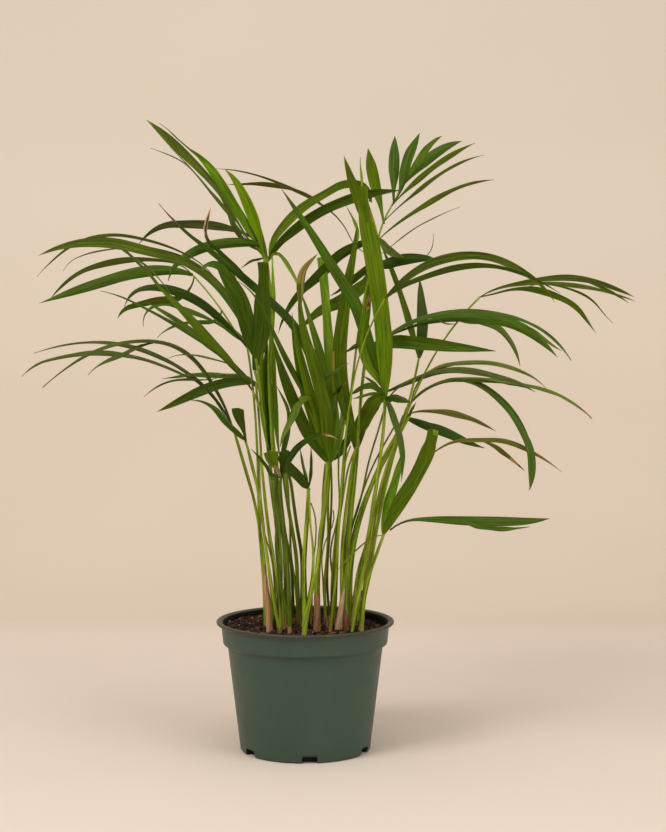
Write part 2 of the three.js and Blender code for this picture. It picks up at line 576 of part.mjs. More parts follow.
// fronds: each is the union of its leaflets and the knob at the head of its stem
const solids = [];
for (const [name, rows] of Object.entries(FRONDS)) {
  const owner = STEM_OF[name] ?? name,
    back = name.startsWith("back"),
    [hx, hz, hy] = rows[0],
    hub = new THREE.Vector3(hx, hy, hz);
  const build = (grow) => {
    const list = rows.map((row) => leaflet(row, grow, rows));
    list.push(knob(hub, KNOB + grow));
    if (back) list.push(stem(STEMS[owner], grow, rows));
    return list;
  };
  solids.push({ name, owner, rows, kind: "frond", solid: lighten(union(build(0))), roomy: build(GAP) });
}
for (const [name, row] of Object.entries(STEMS)) {
  if (name.startsWith("back")) continue;
  const build = (grow) => {
    const list = [stem(row, grow, name === "front_left" ? [BUNDLE] : [])];
    if (name === "front_left") list.push(leaflet(BUNDLE, grow));
    return list;
  };
  solids.push({ name: "stem_" + name, owner: name, kind: "stem", solid: lighten(union(build(0))), roomy: build(GAP) });
}

// neighbours that meet are parted by a small gap: the later solid gives way to the earlier
const boxOf = (s) => s.boundingBox();
const apart = (a, b) => [0, 1, 2].some((k) => a.max[k] + 1 < b.min[k] || b.max[k] + 1 < a.min[k]);
for (let j = 0; j < solids.length; j++) {
  for (let i = 0; i < j; i++) {
    if (apart(boxOf(solids[i].solid), boxOf(solids[j].solid))) continue;
    for (const piece of solids[i].roomy) {
      if (apart(boxOf(piece), boxOf(solids[j].solid))) continue;
      const hit = solids[j].solid.intersect(piece);
      if (hit.volume() < 1e-4) continue;
      solids[j].solid = solids[j].solid.subtract(piece);
    }
  }
  solids[j].solid = largest(solids[j].solid);
}

add("pot", makePot(), palette.pot);
add("root_ball", makeRootBall(), palette.soil);
// the crowded centre frond drops the short edges where its blades cross, too
for (const s of solids) add(s.name, (s.name === "centre" ? s.solid.asOriginal() : s.solid).simplify(0.03), s.kind === "stem" ? palette.stem : palette.leaf);

export default group;
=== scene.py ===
import math

import bpy
import numpy as np
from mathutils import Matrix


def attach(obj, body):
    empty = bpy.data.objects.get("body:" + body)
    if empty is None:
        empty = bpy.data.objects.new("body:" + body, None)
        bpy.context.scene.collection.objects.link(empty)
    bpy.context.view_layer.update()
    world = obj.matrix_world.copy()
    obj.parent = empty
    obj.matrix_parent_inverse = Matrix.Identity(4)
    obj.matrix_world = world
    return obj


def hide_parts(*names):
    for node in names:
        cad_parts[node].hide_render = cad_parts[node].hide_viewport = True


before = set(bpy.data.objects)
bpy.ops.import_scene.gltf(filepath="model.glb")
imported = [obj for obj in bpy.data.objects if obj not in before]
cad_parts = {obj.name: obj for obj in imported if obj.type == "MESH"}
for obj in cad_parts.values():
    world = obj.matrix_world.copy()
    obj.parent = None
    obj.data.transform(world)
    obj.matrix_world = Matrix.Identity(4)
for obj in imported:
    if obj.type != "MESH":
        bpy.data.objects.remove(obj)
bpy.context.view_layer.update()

MM = 0.001
EYE_Z = 400.0
SOIL_Z = 114.0
rng = np.random.default_rng(41)

# ---------------------------------------------------------------- camera
cam_data = bpy.data.cameras.new("view")
cam_data.lens = 75.0
cam_data.sensor_width = 36.0
cam_data.sensor_fit = "AUTO"
cam_data.clip_end = 20.0
cam = bpy.data.objects.new("view", cam_data)
bpy.context.scene.collection.objects.link(cam)
cam.location = (0.02576, -1.6, 0.398)
cam.rotation_euler = (math.radians(90.0 - 3.157), 0.0, 0.0)
bpy.context.scene.camera = cam
bpy.context.scene.view_settings.view_transform = "Standard"
bpy.context.scene.view_settings.look = "None"

# ---------------------------------------------------------------- sizes of the plant (mm, degrees)
# A leaflet: foot x, foot z, foot y, tip y, length in the XZ plane, seen width, end width (0 pointed,
# 1 cut off), headings from foot to tip (0 = +X, 90 = up), tint, brown share of the tip, stains,
# share of the length by which it has its full width, share at which it starts to narrow.
# A stem: foot x, foot y, top y, length, foot diameter, top diameter, headings, tint, sheath height, sheath tint.
FRONDS = {
    "left_long": [
        (-54.2, 372.2, 24, 56, 87.4, 1.9, 0, [129, 123, 129, 134], "rib", 0),
        (-107.7, 441.1, 56, 70, 154.2, 10.7, 0, [160, 179, 189, 197, 197, 199, 199], "mid", 0, (), 0.32, 0.5),
        (-107.7, 441.1, 56, 120, 162.1, 4.9, 0, [130, 170, 178, 189, 197, 217, 229], "soft", 0.04, (), 0.45),
        (-54.2, 372.2, 24, -30, 138.2, 8.9, 0, [126, 134, 138, 152, 167, 195, 267], "dark", 0, (), 0.45, 0.5),
        (-106.5, 439.8, 55.2, 12, 86.6, 6.2, 0, [-95, -133, -182, -166, -163, -105], "green", 0, (), 0.4, 0.55),
        (-60.5, 380, 21.7, 66, 118.3, 4.8, 0, [143, 147, 159, 160, 205, 282], "mid", 0, (), 0.5),
        (-79.6, 407.8, 37.9, -8, 66.6, 4.7, 0, [-92, -181, -176, -153, -126], "mid", 0),
    ],
    "fan_ne": [
        (62.9, 452.8, 38, 52, 76.4, 1.9, 0, [76, 76, 61, 60], "rib", 0),
        (73.8, 488.7, 41.1, 14, 70.2, 11.4, 0, [100, 102, 107, 103, 102, 101], "light", 0, (), 0.62, 0.64),
        (83.4, 508.8, 46.8, 92, 67.7, 10.8, 0, [95, 86, 89, 87, 87, 87], "mid", 0, (), 0.55, 0.62),
        (83.8, 510.9, 48.9, 66, 70.7, 9.7, 0, [52, 79, 77, 63, 65], "mid", 0, (), 0.45, 0.62),
        (90.7, 524.7, 51.7, 104, 68, 6.9, 0, [61, 58, 56, 48, 30], "light", 0, (), 0.5, 0.6),
        (90.7, 524.7, 51.7, 136, 82.8, 9.9, 0, [49, 49, 42, 32, 17], "mid", 0, (), 0.45, 0.6),
        (81.1, 506, 47.7, 18, 95.9, 5.7, 0, [51, 44, 41, 34, 28, 18], "light", 0, (), 0.45, 0.55),
        (73.5, 491.1, 44.4, 78, 119.3, 3.9, 0, [47, 42, 40, 34, 24, 12], "green", 0, (), 0.45),
        (68.1, 473.7, 41.1, -6, 119.8, 5.1, 0, [44, 38, 33, 31, 24, 12, -1], "light", 0.03, (), 0.5),
        (63.9, 456.7, 38.4, 124, 102.9, 2, 0, [26, 42, 37, 29, 25, 22], "soft", 0, (), 0.5),
        (69, 474.5, 40.9, -24, 28.9, 6.6, 0, [-51, -53, -35, -25], "soft", 0),
        (62.9, 452.8, 38, 8, 63.4, 10.5, 0, [-32, 21, 7, -2, -26], "dark", 0),
        (110.6, 455.4, 16, 24, 26.5, 1.2, 0, [47, 58, 83, 83], "olive", 0),
    ],
    "fan_ne_left": [
        (62.9, 452.8, 43.8, 46, 21.8, 1.9, 0, [80, 74, 74], "rib", 0),
        (68.4, 473.9, 46, 66, 137.5, 5.8, 0, [-180, -159, -136, -135, -133, -118, -104], "mid", 0),
        (67.9, 472.1, 45.8, 92, 89.3, 4.9, 0, [-172, -160, -133, -134, -144], "mid", 0, (), 0.4),
        (64.1, 458.8, 44.3, 100, 182.9, 2.9, 0, [167, 113, 140, 153, 157, 166, 178], "soft", 0, (), 0.55),
        (14.4, 509.7, 62.6, 58, 92.6, 4.4, 0, [139, 158, 167, 174, 185, 182], "olive", 0.05, (), 0.5),
        (62.9, 452.8, 43.8, 72, 51, 7.8, 0, [-130, -145, -141, -141, -152], "green", 0),
        (58.8, 448.7, 45.9, 96, 94.4, 12.7, 0, [-64, -140, -146, -161, -139, -129], "green", 0),
    ],
    "fan_nw_left": [
        (-38.1, 455.8, 8, 8, 11, 2.8, 0, [99, 99, 99], "rib", 0),
        (-38.1, 455.8, 8, -62, 83.5, 9.7, 0, [100, 102, 110, 112, 120, 142], "lime", 0, (), 0.45, 0.55),
        (-38.1, 455.8, 8, 20, 126.6, 8, 0, [119, 120, 118, 122, 122, 134, 149], "bright", 0, (), 0.5, 0.6),
        (-92.6, 544.3, 17.5, 22, 56.7, 1.6, 0, [138, 140, 139, 136, 150], "soft", 0),
        (-40, 459.3, 8.2, -22, 159.1, 7, 0, [136, 122, 118, 131, 136, 137, 144], "soft", 0, (), 0.75, 0.68),
        (-41.2, 460.5, 8.1, 62, 136.2, 2.3, 0, [141, 128, 121, 133, 130, 134, 139], "soft", 0, (), 0.5),
        (-42.2, 461.5, 8.3, 95, 153.7, 2.3, 0, [134, 129, 128, 128, 133, 155, 160], "soft", 0.04, (), 0.5),
        (-39.8, 466.7, 8, 128, 139.1, 7.2, 0, [133, 157, 169, 176, 178, 205, 229], "dusk", 0, (), 0.4),
        (-39.8, 466.7, 8, -50, 97.9, 9.3, 0, [161, 182, 190, 206, 224, 267], "mid", 0),
        (-38.1, 455.8, 8, -12, 23, 1.9, 0, [-162, -170, -140, -138], "mid", 0),
    ],
    "back_low_right": [
        (95.3, 304.6, 70.7, 166, 92.4, 8.1, 0, [-22, -22, -27, -21], "dark", 0),
        (101.3, 319.1, 72, 176, 207.8, 4.4, 0, [51, 1, -8, -20, -48], "green", 0),
        (135.8, 340, 86.9, 222, 174.1, 4.9, 0, [6, -34, -52, -71, -102], "mid", 0),
        (101.3, 319.1, 72, 222, 173.9, 2.9, 0, [85, 18, -3, -18, -43], "dark", 0),
    ],
    "fan_nw_right": [
        (-32.5, 456.3, 8, 75, 140.3, 8.7, 0.5, [93, 55, 46, 31, 33, -8, -96], "light", 0, (), 0.32, 0.85),
        (-32.5, 456.3, 8, -58, 136.3, 8.3, 0, [65, 40, 34, 25, 17, 7, -3], "mid", 0, (), 0.32, 0.7),
        (-32.5, 456.3, 8, -34, 50.9, 3.3, 0, [65, -49, -58, -65, -67], "pale", 0),
    ],
    "front_left": [
        (-43.8, 364.1, -36, -92, 85.2, 16.2, 0.6, [75, 79, 88, 84, 95], "mid", 0),
        (-43.8, 364.1, -36, -66, 106.4, 15.4, 0.2, [102, 104, 105, 120, 120, 248], "mid", 0),
        (-44.3, 367.4, -36.5, -104, 232.7, 8.5, 0, [114, 111, 139, 164, 166, 187, 209], "soft", 0, (), 0.7, 0.72),
        (-74.5, 427.7, -51.9, -40, 192.9, 2.7, 0, [117, 147, 161, 170, 192, 218, 229], "soft", 0.05, (), 0.5),
    ],
    "left_mid": [
        (-48.1, 334.9, -20, -74, 133.5, 8.2, 0, [124, 127, 133, 130, 132, 134, 126], "green", 0, (), 0.4),
        (-114.1, 413.7, -59.5, -50, 81.1, 2.3, 0, [114, 128, 131, 150, 148, 127], "soft", 0, (), 0.5),
        (-139.9, 446.7, -55.2, -116, 77, 1.1, 0, [158, 130, 189, 195, 210, 254], "soft", 0),
        (-48.1, 334.9, -20, -136, 153.4, 3.1, 0, [128, 131, 138, 146, 150, 152, 170], "mid", 0, (), 0.5),
        (-58.3, 349.8, -24.9, 26, 113.8, 5.2, 0, [134, 141, 140, 146, 151, 152], "mid", 0, (), 0.4),
        (-62.6, 355.3, -27.2, -70, 60.8, 1.5, 0, [146, 164, 165, 180, 207], "soft", 0),
        (-116.9, 416.8, -61.4, -70, 68.8, 2, 0, [144, 123, 135, 138, 111], "soft", 0),
    ],
    "left_low": [
        (-66, 299.4, -12, -112, 213.7, 3.4, 0, [110, 113, 132, 171, 193, 215, 225], "dusk", 0.04, (), 0.55),
        (-129, 378.7, -55.5, -98, 65.5, 4.1, 0, [-177, -165, -149, -158, -148, -122], "dusk", 0, (), 0.4),
        (-66, 299.4, -12, -52, 208.1, 3.5, 0, [123, 121, 151, 155, 173, 189, 200], "dusk", 0, (), 0.6),
        (-94.4, 339.9, -19.2, 50, 186.6, 3.6, 0, [150, 158, 166, 176, 189, 194, 228], "dusk", 0.03, (), 0.5),
    ],
    "left_cut": [
        (-52.3, 289.2, -52, -72, 32.2, 10.8, 1, [92, 104, 106, 89], "mid", 0, (), 0.95),
        (-52.4, 291.2, -52.7, -118, 61.1, 5.3, 0, [131, 133, 122, 145, 183], "mid", 0.06),
    ],
    "left_rear": [
        (-47.6, 338.7, 46, 96, 96, 5.9, 0, [138, 180, 177, 181, 191, 189], "mid", 0),
        (-78, 346.6, 59.4, 70, 84.5, 2.4, 0, [-146, -178, -184, -169, -149, -135], "dark", 0, (), 0.5),
        (-47.6, 338.7, 46, 68, 102.5, 9.7, 0, [168, 185, 199, 205, 207, 205], "mid", 0, (), 0.32, 0.5),
    ],
    "centre": [
        (21.6, 264.8, -15, -84, 167.7, 11.8, 0.3, [95, 91, 100, 106, 107, 97, 87], "green", 0),
        (21.4, 268.3, -15.7, 30, 161.8, 9.4, 0, [91, 90, 93, 99, 107, 107, 112], "green", 0),
        (21.6, 264.8, -15, 26, 63.1, 5.6, 0, [79, 77, 87, 102], "pale", 0),
        (22.1, 267.4, -14.1, 10, 134.5, 8.4, 0, [88, 90, 97, 99, 103, 107], "green", 0),
        (21.6, 264.8, -15, -70, 144.3, 9.1, 0, [104, 104, 105, 104, 103, 101, 96], "light", 0),
        (-3.4, 410.4, -74.6, -92, 51.3, 7.1, 0, [93, 91, 80, 44, 39], "straw", 0),
        (21.3, 270, -16.1, -60, 127.5, 11, 0, [109, 108, 106, 104, 102, 99], "bright", 0),
        (21, 275.3, -17.5, -34, 287.8, 8.3, 0, [99, 94, 113, 137, 140, 144, 127], "dark", 0.08),
        (-45.7, 428.4, -26.5, -58, 86.5, 2.7, 0, [128, 133, 137, 140, 76, 73], "mid", 0),
        (-85.8, 472.8, -47, -58, 26.2, 2.7, 0, [136, 77, 70, 68], "husk", 0),
        (21.4, 280.1, -13.7, -112, 174.3, 5.4, 0, [111, 108, 118, 117, 113, 117, 154], "mid", 0),
        (20.5, 269.2, -15.9, -96, 124, 10.9, 0, [129, 120, 111, 110, 106, 105], "mid", 0),
        (21.6, 264.8, -15, 36, 60.1, 6.6, 0.4, [68, 70, 83, 99], "pale", 0),
        (23.5, 269.4, -12.4, 16, 30.4, 9.4, 0.4, [46, 49, 61], "mid", 0, (), 0.32, 0.6),
        (23.9, 269.9, -12.1, 72, 189.6, 10.5, 0.8, [81, 90, 92, 97, 94, 95, 97], "light", 0, (), 0.4),
        (19.9, 328.9, -4.6, -74, 44.9, 4.6, 0, [113, 107, 21, 42, 21], "mid", 0.14),
        (25.4, 329, 8.7, -66, 19.8, 2.8, 0, [49, 47, 58, 14], "dark", 0.35),
        (15.2, 322.9, -19.4, -124, 63.7, 5.4, 0, [101, 194, 253, 240, 262], "soft", 0),
    ],
    "mid_tall": [
        (47, 279.1, 0, -38, 208.9, 13, 0, [102, 105, 96, 84, 82, 78, 86], "green", 0, [(0.30, 0.52, -1.15, -0.78, "brown"), (0.36, 0.44, -1.05, -0.66, "rust")]),
        (45.1, 461.3, -32.8, -20, 43.5, 3.7, 0, [72, 74, 111, 119, 123], "pale", 0),
        (47, 279.1, 0, -54, 59, 13.8, 0.7, [89, 77, 64, 61, 25], "green", 0, (), 0.5, 0.8),
    ],
    "star_up": [
        (72.3, 330.6, -56, -112, 183.6, 15.1, 0.6, [90, 92, 96, 99, 100, 102, 94], "light", 0, [(0.79, 0.89, 0.72, 1.1, "rust")], 0.32, 0.78),
        (54.2, 482.1, -101, -128, 57.6, 8.7, 0, [110, 109, 109, 111, 107], "green", 0),
        (51.8, 497.2, -106.4, -92, 41.9, 3.5, 0, [95, 96, 94, 83], "young", 0, (), 0.4),
        (72.3, 332.5, -56.2, -30, 207.4, 11, 0, [106, 109, 107, 124, 121, 125, 124], "mid", 0.05),
        (71, 336.6, -55.9, -84, 115.9, 7.2, 0, [119, 129, 102, 78, 84, 79, 75], "light", 0, [(0.66, 0.76, -0.3, 0.9, "tan"), (0.68, 0.72, 0.0, 0.8, "brown")]),
    ],
    "star_low": [
        (72.3, 329.6, -61.8, -36, 40.4, 4.5, 0, [111, 154, 215, 222], "mid", 0),
        (70.7, 333.5, -60.1, -112, 28.9, 2.2, 0, [173, 182, 195, 187], "mid", 0),
        (72.3, 329.6, -61.8, -104, 20.4, 6.2, 0, [11, 2, -22, -3], "dark", 0, (), 0.32, 0.6),
        (72.3, 329.6, -61.8, -158, 68.7, 5.2, 0, [-66, -67, -74, -84, -96, -103], "mid", 0.04),
        (71.1, 332.7, -60.5, -92, 25.9, 2.2, 0, [131, 130, 144, 154], "mid", 0),
        (75.4, 330.2, -66.3, -122, 133.5, 5.3, 0, [54, 28, 15, -1, -13, -17, -37], "dusk", 0, (), 0.6, 0.75),
    ],
    "right_mid": [
        (55, 366, -34, -104, 203.4, 3.8, 0, [46, 35, 15, -2, -11, -38, -59], "mid", 0),
        (71.9, 382, -39.2, -66, 167.2, 6.4, 0, [26, 20, 9, -4, -13, -39, -50], "mid", 0, (), 0.5, 0.7),
        (184.6, 395.5, -56.6, -58, 51.8, 2.7, 0, [-13, -17, -38, -39, -29], "soft", 0),
        (126.2, 400.2, -46.6, -26, 92, 7.3, 0, [-8, 1, -12, -44, -63, -80], "soft", 0.03, (), 0.45),
        (55, 366, -34, -118, 114.5, 11.6, 0, [59, 14, -4, -4, -7, -5, -5], "mid", 0),
        (59.2, 370.2, -36.4, -50, 27.6, 5.5, 0, [116, 168, 213, 214], "dark", 0),
        (119.3, 398.9, -45.6, -62, 17.2, 1.2, 0, [-34, -24, -1, 1], "olive", 0),
    ],
    "right_top": [
        (70.8, 416.6, -96, -58, 178.7, 6.1, 0, [52, 37, 17, 0, -23, -35, -58], "soft", 0.03, (), 0.2),
        (71.9, 418.1, -95.8, -136, 156.8, 5.6, 0, [42, 22, 17, 4, -14, -26, -36], "mid", 0, (), 0.25),
    ],
    "right_up": [
        (107.5, 362.3, 50, 146, 78.7, 10.9, 0, [79, 79, 85, 91, 90, 92], "dark", 0, (), 0.32, 0.5),
        (107.5, 362.3, 50, 60, 117.8, 5.8, 0, [102, 105, 107, 109, 114, 115], "green", 0),
    ],
    "right_long": [
        (163.2, 420, 22, 46, 154, 5.2, 0, [34, 14, 10, 3, -10, -20, -27], "soft", 0.02, (), 0.5, 0.7),
        (170.2, 423.9, 22.7, 88, 152.4, 4.7, 0, [22, 9, 4, -5, -9, -16, -21], "light", 0, (), 0.5, 0.7),
        (256.3, 437.8, 35.7, 22, 51.8, 1.9, 0, [-25, -20, -24, -34, -36], "green", 0, (), 0.5),
        (163.2, 420, 22, -34, 117.6, 5.6, 0, [11, 17, 0, -18, -29, -58, -60], "green", 0, (), 0.5),
        (202.8, 427.1, 6.5, -12, 92.9, 1.9, 0, [32, -4, -14, -28, -55, -46], "green", 0, (), 0.5),
    ],
    "right_front": [
        (96.5, 324.2, -30, 66, 157.8, 3.4, 0, [81, 44, 6, 1, -14, -24, -46], "soft", 0.04, (), 0.55),
        (96.5, 324.2, -30, -114, 167.6, 4.9, 0, [57, 20, 3, -9, -9, -30, -50], "soft", 0.02, (), 0.75, 0.85),
        (152.5, 346.2, -55.9, -78, 47.3, 3.6, 0, [2, -5, -13, -15, -17], "soft", 0),
        (126.4, 344, -43.6, -148, 130.4, 5.3, 0, [15, -20, -37, -57, -65, -95, -110], "mid", 0.03, (), 0.8, 0.84),
    ],
    "right_spear": [
        (91, 310.5, -12, 66, 97.1, 6.1, 0, [26, -1, -8, -18, -28, -32], "moss", 0.1, (), 0.45),
        (91, 310.5, -12, -58, 74.2, 9.2, 0.1, [-25, -20, -17, -24, -21, -17], "dark", 0, (), 0.45),
        (91, 310.5, -12, -30, 18.7, 2.2, 0, [-31, 81, 55, 71], "olive", 0),
    ],
    "right_low": [
        (71.4, 203.5, -36, -16, 76.3, 9.2, 0, [86, 80, 71, 75, 75], "bright", 0, (), 0.32, 0.6),
        (71.5, 205.1, -35.8, -84, 107.2, 12.6, 0.8, [66, 64, 59, 64, 71, 85], "green", 0, [(0.95, 1.02, 0.0, 1.1, "pale")], 0.32, 0.8),
        (106.2, 273.9, -68.2, -128, 127.5, 4, 0, [45, 33, 3, 2, -22, -31, -42], "moss", 0.16, (), 0.5),
        (145.5, 293.6, -85.4, -66, 60.5, 4.9, 0, [8, -22, -34, -44, -45], "moss", 0.07, [(0.68, 0.88, -1.1, 0.3, "rust"), (0.84, 1.0, -1.2, 1.2, "brown")], 0.55),
        (77.4, 208.2, -36.3, -98, 140.4, 7.7, 0, [43, 4, 0, 2, 3, 13], "mid", 0, (), 0.5, 0.7),
        (140.3, 220.1, -67.9, -90, 58.5, 5, 0, [-13, -12, -6, 0, 8, 7], "mid", 0),
        (71.4, 203.5, -36, -56, 56.3, 1.3, 0, [-183, -147, -138, -135, -124], "olive", 0),
    ],
    "front_cut": [
        (-20.8, 258.5, -60, -74, 26, 13, 1, [111, 116, 107, 97], "light", 0, [(0.0, 0.46, -1.2, 1.2, "tan"), (0.38, 0.5, -1.2, 0.2, "rust")], 0.95),
        (-20.8, 258.5, -60, -116, 72, 5.7, 0, [70, 65, 42, 19, -34], "dark", 0, [(0.86, 1.05, -1.2, 1.2, "tan"), (0.8, 0.9, -0.6, 1.2, "brown")]),
        (-20.8, 258.5, -60, -57, 24.5, 11.3, 0.5, [71, 76, 84, 90], "dark", 0, (), 0.7, 0.9),
        (-20.8, 258.5, -60, -86, 38.1, 3.1, 0, [178, 113, 131, 132], "mid", 0),
        (-20.8, 258.5, -60, -70, 86, 3.6, 0, [86, 81, 76, 87, 117, 121], "mid", 0),
    ],
    "front_low": [
        (4, 250, -72, -100, 28.4, 8.3, 0.9, [130, 128, 131, 131], "dark", 0, (), 0.3, 0.97),
        (4, 250, -72, -80, 37.6, 2.9, 0, [95, 104, 102, 100], "mid", 0.06),
        (4, 250, -72, -64, 36.7, 2.3, 0, [79, 88, 92], "mid", 0),
    ],
    "back_nw": [
        (-35.8, 453, 28.3, 150, 108.9, 7.3, 0, [107, 111, 116, 136], "green", 0),
        (-38.2, 460.6, 33.6, 212, 147.3, 6.9, 0, [127, 120, 125, 145], "mid", 0),
        (-40.7, 468.1, 40.4, 196, 116.9, 8.1, 0, [163, 184, 200, 246], "dark", 0),
        (-35.8, 453, 28.3, 204, 159.4, 8.1, 0, [65, 41, 31, 18, 5], "mid", 0),
        (-40, 463.1, 35.3, 112, 178.1, 5.9, 0, [-197, -256, -224, -226, -217], "mid", 0),
    ],
    "back_left": [
        (-49.3, 350.5, 58, 176, 107.5, 14.5, 0, [78, 86, 91, 95], "dark", 0),
        (-47, 362.6, 66.8, 222, 124.9, 13.9, 0, [105, 114, 115, 203], "green", 0),
        (-47.7, 365.1, 68.3, 176, 278.8, 7.7, 0, [108, 129, 166, 172, 208], "mid", 0),
        (-45.2, 333.6, 57.4, 150, 156.6, 7.2, 0, [145, 133, 135, 137, 133], "dark", 0),
        (-50.6, 373.3, 70, 110, 155.8, 7.5, 0, [150, 133, 154, 175, 251], "mid", 0),
    ],
    "back_low_left": [
        (-70.3, 294.5, 66, 196, 260.1, 3.1, 0, [109, 129, 180, 206, 221], "mid", 0),
        (-70.3, 294.5, 66, 158, 239.1, 3.1, 0, [115, 142, 162, 183, 200], "dark", 0),
        (-101.4, 336.1, 80.8, 228, 211.9, 3.1, 0, [152, 162, 179, 191, 218], "green", 0),
    ],
    "back_centre": [
        (21.2, 259.8, 51.8, 214, 179.8, 10.6, 0, [92, 96, 110, 103, 88], "mid", 0),
        (21.6, 262.9, 52, 186, 135.2, 9.7, 0, [110, 109, 105, 102], "dark", 0),
        (20.8, 269.2, 56.5, 158, 315.3, 7.2, 0, [94, 103, 139, 143, 133], "mid", 0),
        (21.4, 261.4, 51.9, 206, 133.1, 9.7, 0, [132, 117, 112, 108], "mid", 0),
        (21.6, 262.9, 52, 184, 200.9, 8.9, 0, [77, 92, 96, 94, 97], "dark", 0),
        (14.4, 321.3, 68.3, 150, 79.7, 4.8, 0, [124, 248, 242, 258], "green", 0),
    ],
    "back_tall": [
        (48.1, 275.6, 48, 196, 225.9, 11.3, 0, [106, 101, 83, 79, 83], "mid", 0),
        (48, 273.9, 48.1, 132, 59.5, 11.9, 0, [92, 66, 56, 20], "dark", 0),
    ],
    "back_right": [
        (75.4, 324.8, 58, 222, 214.7, 13.9, 0, [88, 93, 97, 100, 94], "mid", 0),
        (75.5, 329.3, 59.6, 170, 227.8, 9.7, 0, [108, 106, 122, 122, 126], "mid", 0),
        (75.5, 329.3, 59.6, 120, 159, 4.8, 0, [25, 21, -6, -15, -32], "dark", 0),
        (75.4, 324.8, 58, 206, 99.3, 4.9, 0, [-62, -70, -84, -94], "green", 0),
        (60.2, 498.2, 185.8, 214, 74.1, 8.4, 0, [111, 107, 109, 106], "mid", 0),
    ],
    "back_mid_right": [
        (56.8, 363.7, 34, 170, 241, 3.4, 0, [51, 20, -2, -22, -57], "dark", 0),
        (56.8, 363.7, 34, 98, 133.3, 11.4, 0, [50, -10, -5, -7], "mid", 0),
        (131.9, 405.4, 74.5, 206, 113, 6.5, 0, [-24, 1, -48, -72], "mid", 0),
    ],
    "back_spear": [
        (74, 193.9, 43.9, 130, 75.8, 7.9, 0, [88, 72, 69, 74], "dark", 0),
        (74.7, 195.5, 44, 204, 106, 11.3, 0, [64, 49, 55, 76], "green", 0),
    ],
}
STEMS = {
    "fan_nw": (-13.4, 4, 8, 343.2, 5, 3.4, [93, 97, 96, 87, 100], "green", 0, "tan"),
    "front_left": (-27.4, -24, -36, 251.7, 5, 3.4, [81, 90, 99, 96, 99], "mid", 26, "dark"),
    "left_long": (-36.7, 2, 24, 258.9, 5, 2.8, [92, 95, 91, 94, 99], "green", 0, "tan"),
    "left_mid": (-19.6, -8, -20, 223.9, 4.4, 3, [94, 94, 95, 95, 117], "bright", 0, "tan"),
    "left_low": (-31.6, -34, -12, 189.3, 5, 2.8, [96, 94, 100, 106, 108], "green", 52, "tan"),
    "left_cut": (-22.2, -44, -52, 178, 4.4, 3, [100, 99, 97, 99, 108], "green", 0, "tan"),
    "left_rear": (-23.5, 30, 46, 226.1, 4, 3, [97, 99, 96, 93, 96], "olive", 0, "tan"),
    "centre": (11.1, -28, -15, 151.5, 6, 4, [90, 91, 82, 87, 78], "green", 34, "brown"),
    "mid_tall": (30.4, -22, 0, 166.1, 5.2, 3.4, [82, 82, 89, 81, 88], "bright", 26, "pink"),
    "star": (43.3, -12, -56, 218.8, 6, 4, [84, 78, 82, 83, 89], "bright", 0, "red"),
    "fan_ne": (25.8, 26, 38, 341.3, 4.6, 3, [90, 84, 85, 83, 76], "mid", 0, "tan"),
    "right_mid": (38.5, -30, -34, 252.7, 4.6, 3, [92, 87, 84, 87, 82], "mid", 10, "red"),
    "right_top": (23, -34, -96, 309, 3.6, 2, [83, 87, 86, 80, 59], "green", 0, "tan"),
    "right_up": (48.5, 28, 50, 255.4, 4.6, 3, [74, 80, 77, 73, 79], "green", 0, "tan"),
    "right_long": (44.5, 14, 22, 333.5, 4.4, 2.4, [78, 79, 72, 63, 44], "mid", 14, "pink"),
    "right_front": (51.8, -2, -30, 215.9, 4.6, 3, [87, 82, 80, 73, 67], "olive", 0, "tan"),
    "right_spear": (37.9, 8, -12, 206.3, 9, 5, [88, 86, 73, 61, 71], "mid", 20, "dark"),
    "right_low": (51.4, -26, -36, 92.2, 6, 3.6, [85, 85, 76, 70, 72], "bright", 0, "tan"),
    "front_cut": (-13.2, -44, -60, 145, 5, 3.6, [91, 91, 94, 100, 83], "deep", 0, "tan"),
    "front_low": (-0.5, -46, -72, 136.2, 5, 3.4, [88, 92, 88, 85, 87], "bright", 0, "tan"),
    "back_nw": (-17.6, 56, 28, 343.5, 4.6, 3, [89, 97, 95, 87, 98], "green", 20, "tan"),
    "back_left": (-27, 50, 58, 238.6, 4.6, 3, [82, 93, 99, 96, 105], "green", 20, "tan"),
    "back_low_left": (-34.8, 26, 66, 184.7, 4.6, 3, [95, 95, 101, 107, 108], "green", 20, "tan"),
    "back_centre": (10.5, 42, 52, 149.4, 5, 3.4, [88, 88, 82, 87, 84], "green", 20, "tan"),
    "back_tall": (32.5, 54, 48, 162.4, 4.6, 3.2, [82, 84, 88, 81, 88], "green", 20, "tan"),
    "back_right": (43.9, 44, 58, 213.4, 5, 3.4, [83, 76, 82, 82, 89], "green", 20, "tan"),
    "back_mid_right": (37.2, 34, 34, 250.5, 4.6, 3, [88, 86, 84, 87, 82], "green", 20, "tan"),
    "back_low_right": (40.2, 54, 72, 215.9, 4.6, 3, [49, 82, 78, 76, 66], "green", 20, "tan"),
    "back_spear": (49.6, 40, 44, 85.4, 4.6, 3, [72, 75, 77, 70, 67], "green", 20, "tan"),
}
BUNDLE = [
    (-33.1, 283.5, -34, -26, 99.8, 5.5, 0.2, [96, 95, 92, 82], "bright", 0),
    (-30.5, 278.7, -30, -22, 108.9, 5, 0.2, [95, 93, 91, 87], "green", 0),
    (-26.8, 278.8, -32, -24, 110.6, 5.5, 0.2, [95, 93, 92, 89], "bright", 0),
    (-22.9, 276.7, -28, -20, 110.9, 5, 0.2, [96, 93, 92, 93], "light", 0),
    (-28.5, 271.9, -36, -30, 104, 1.6, 0, [93, 93, 93, 90], "pale", 0),
    (-29.4, 384.7, -18, -16, 70.9, 3.6, 0.3, [90, 90, 90, 92], "young", 0),
]
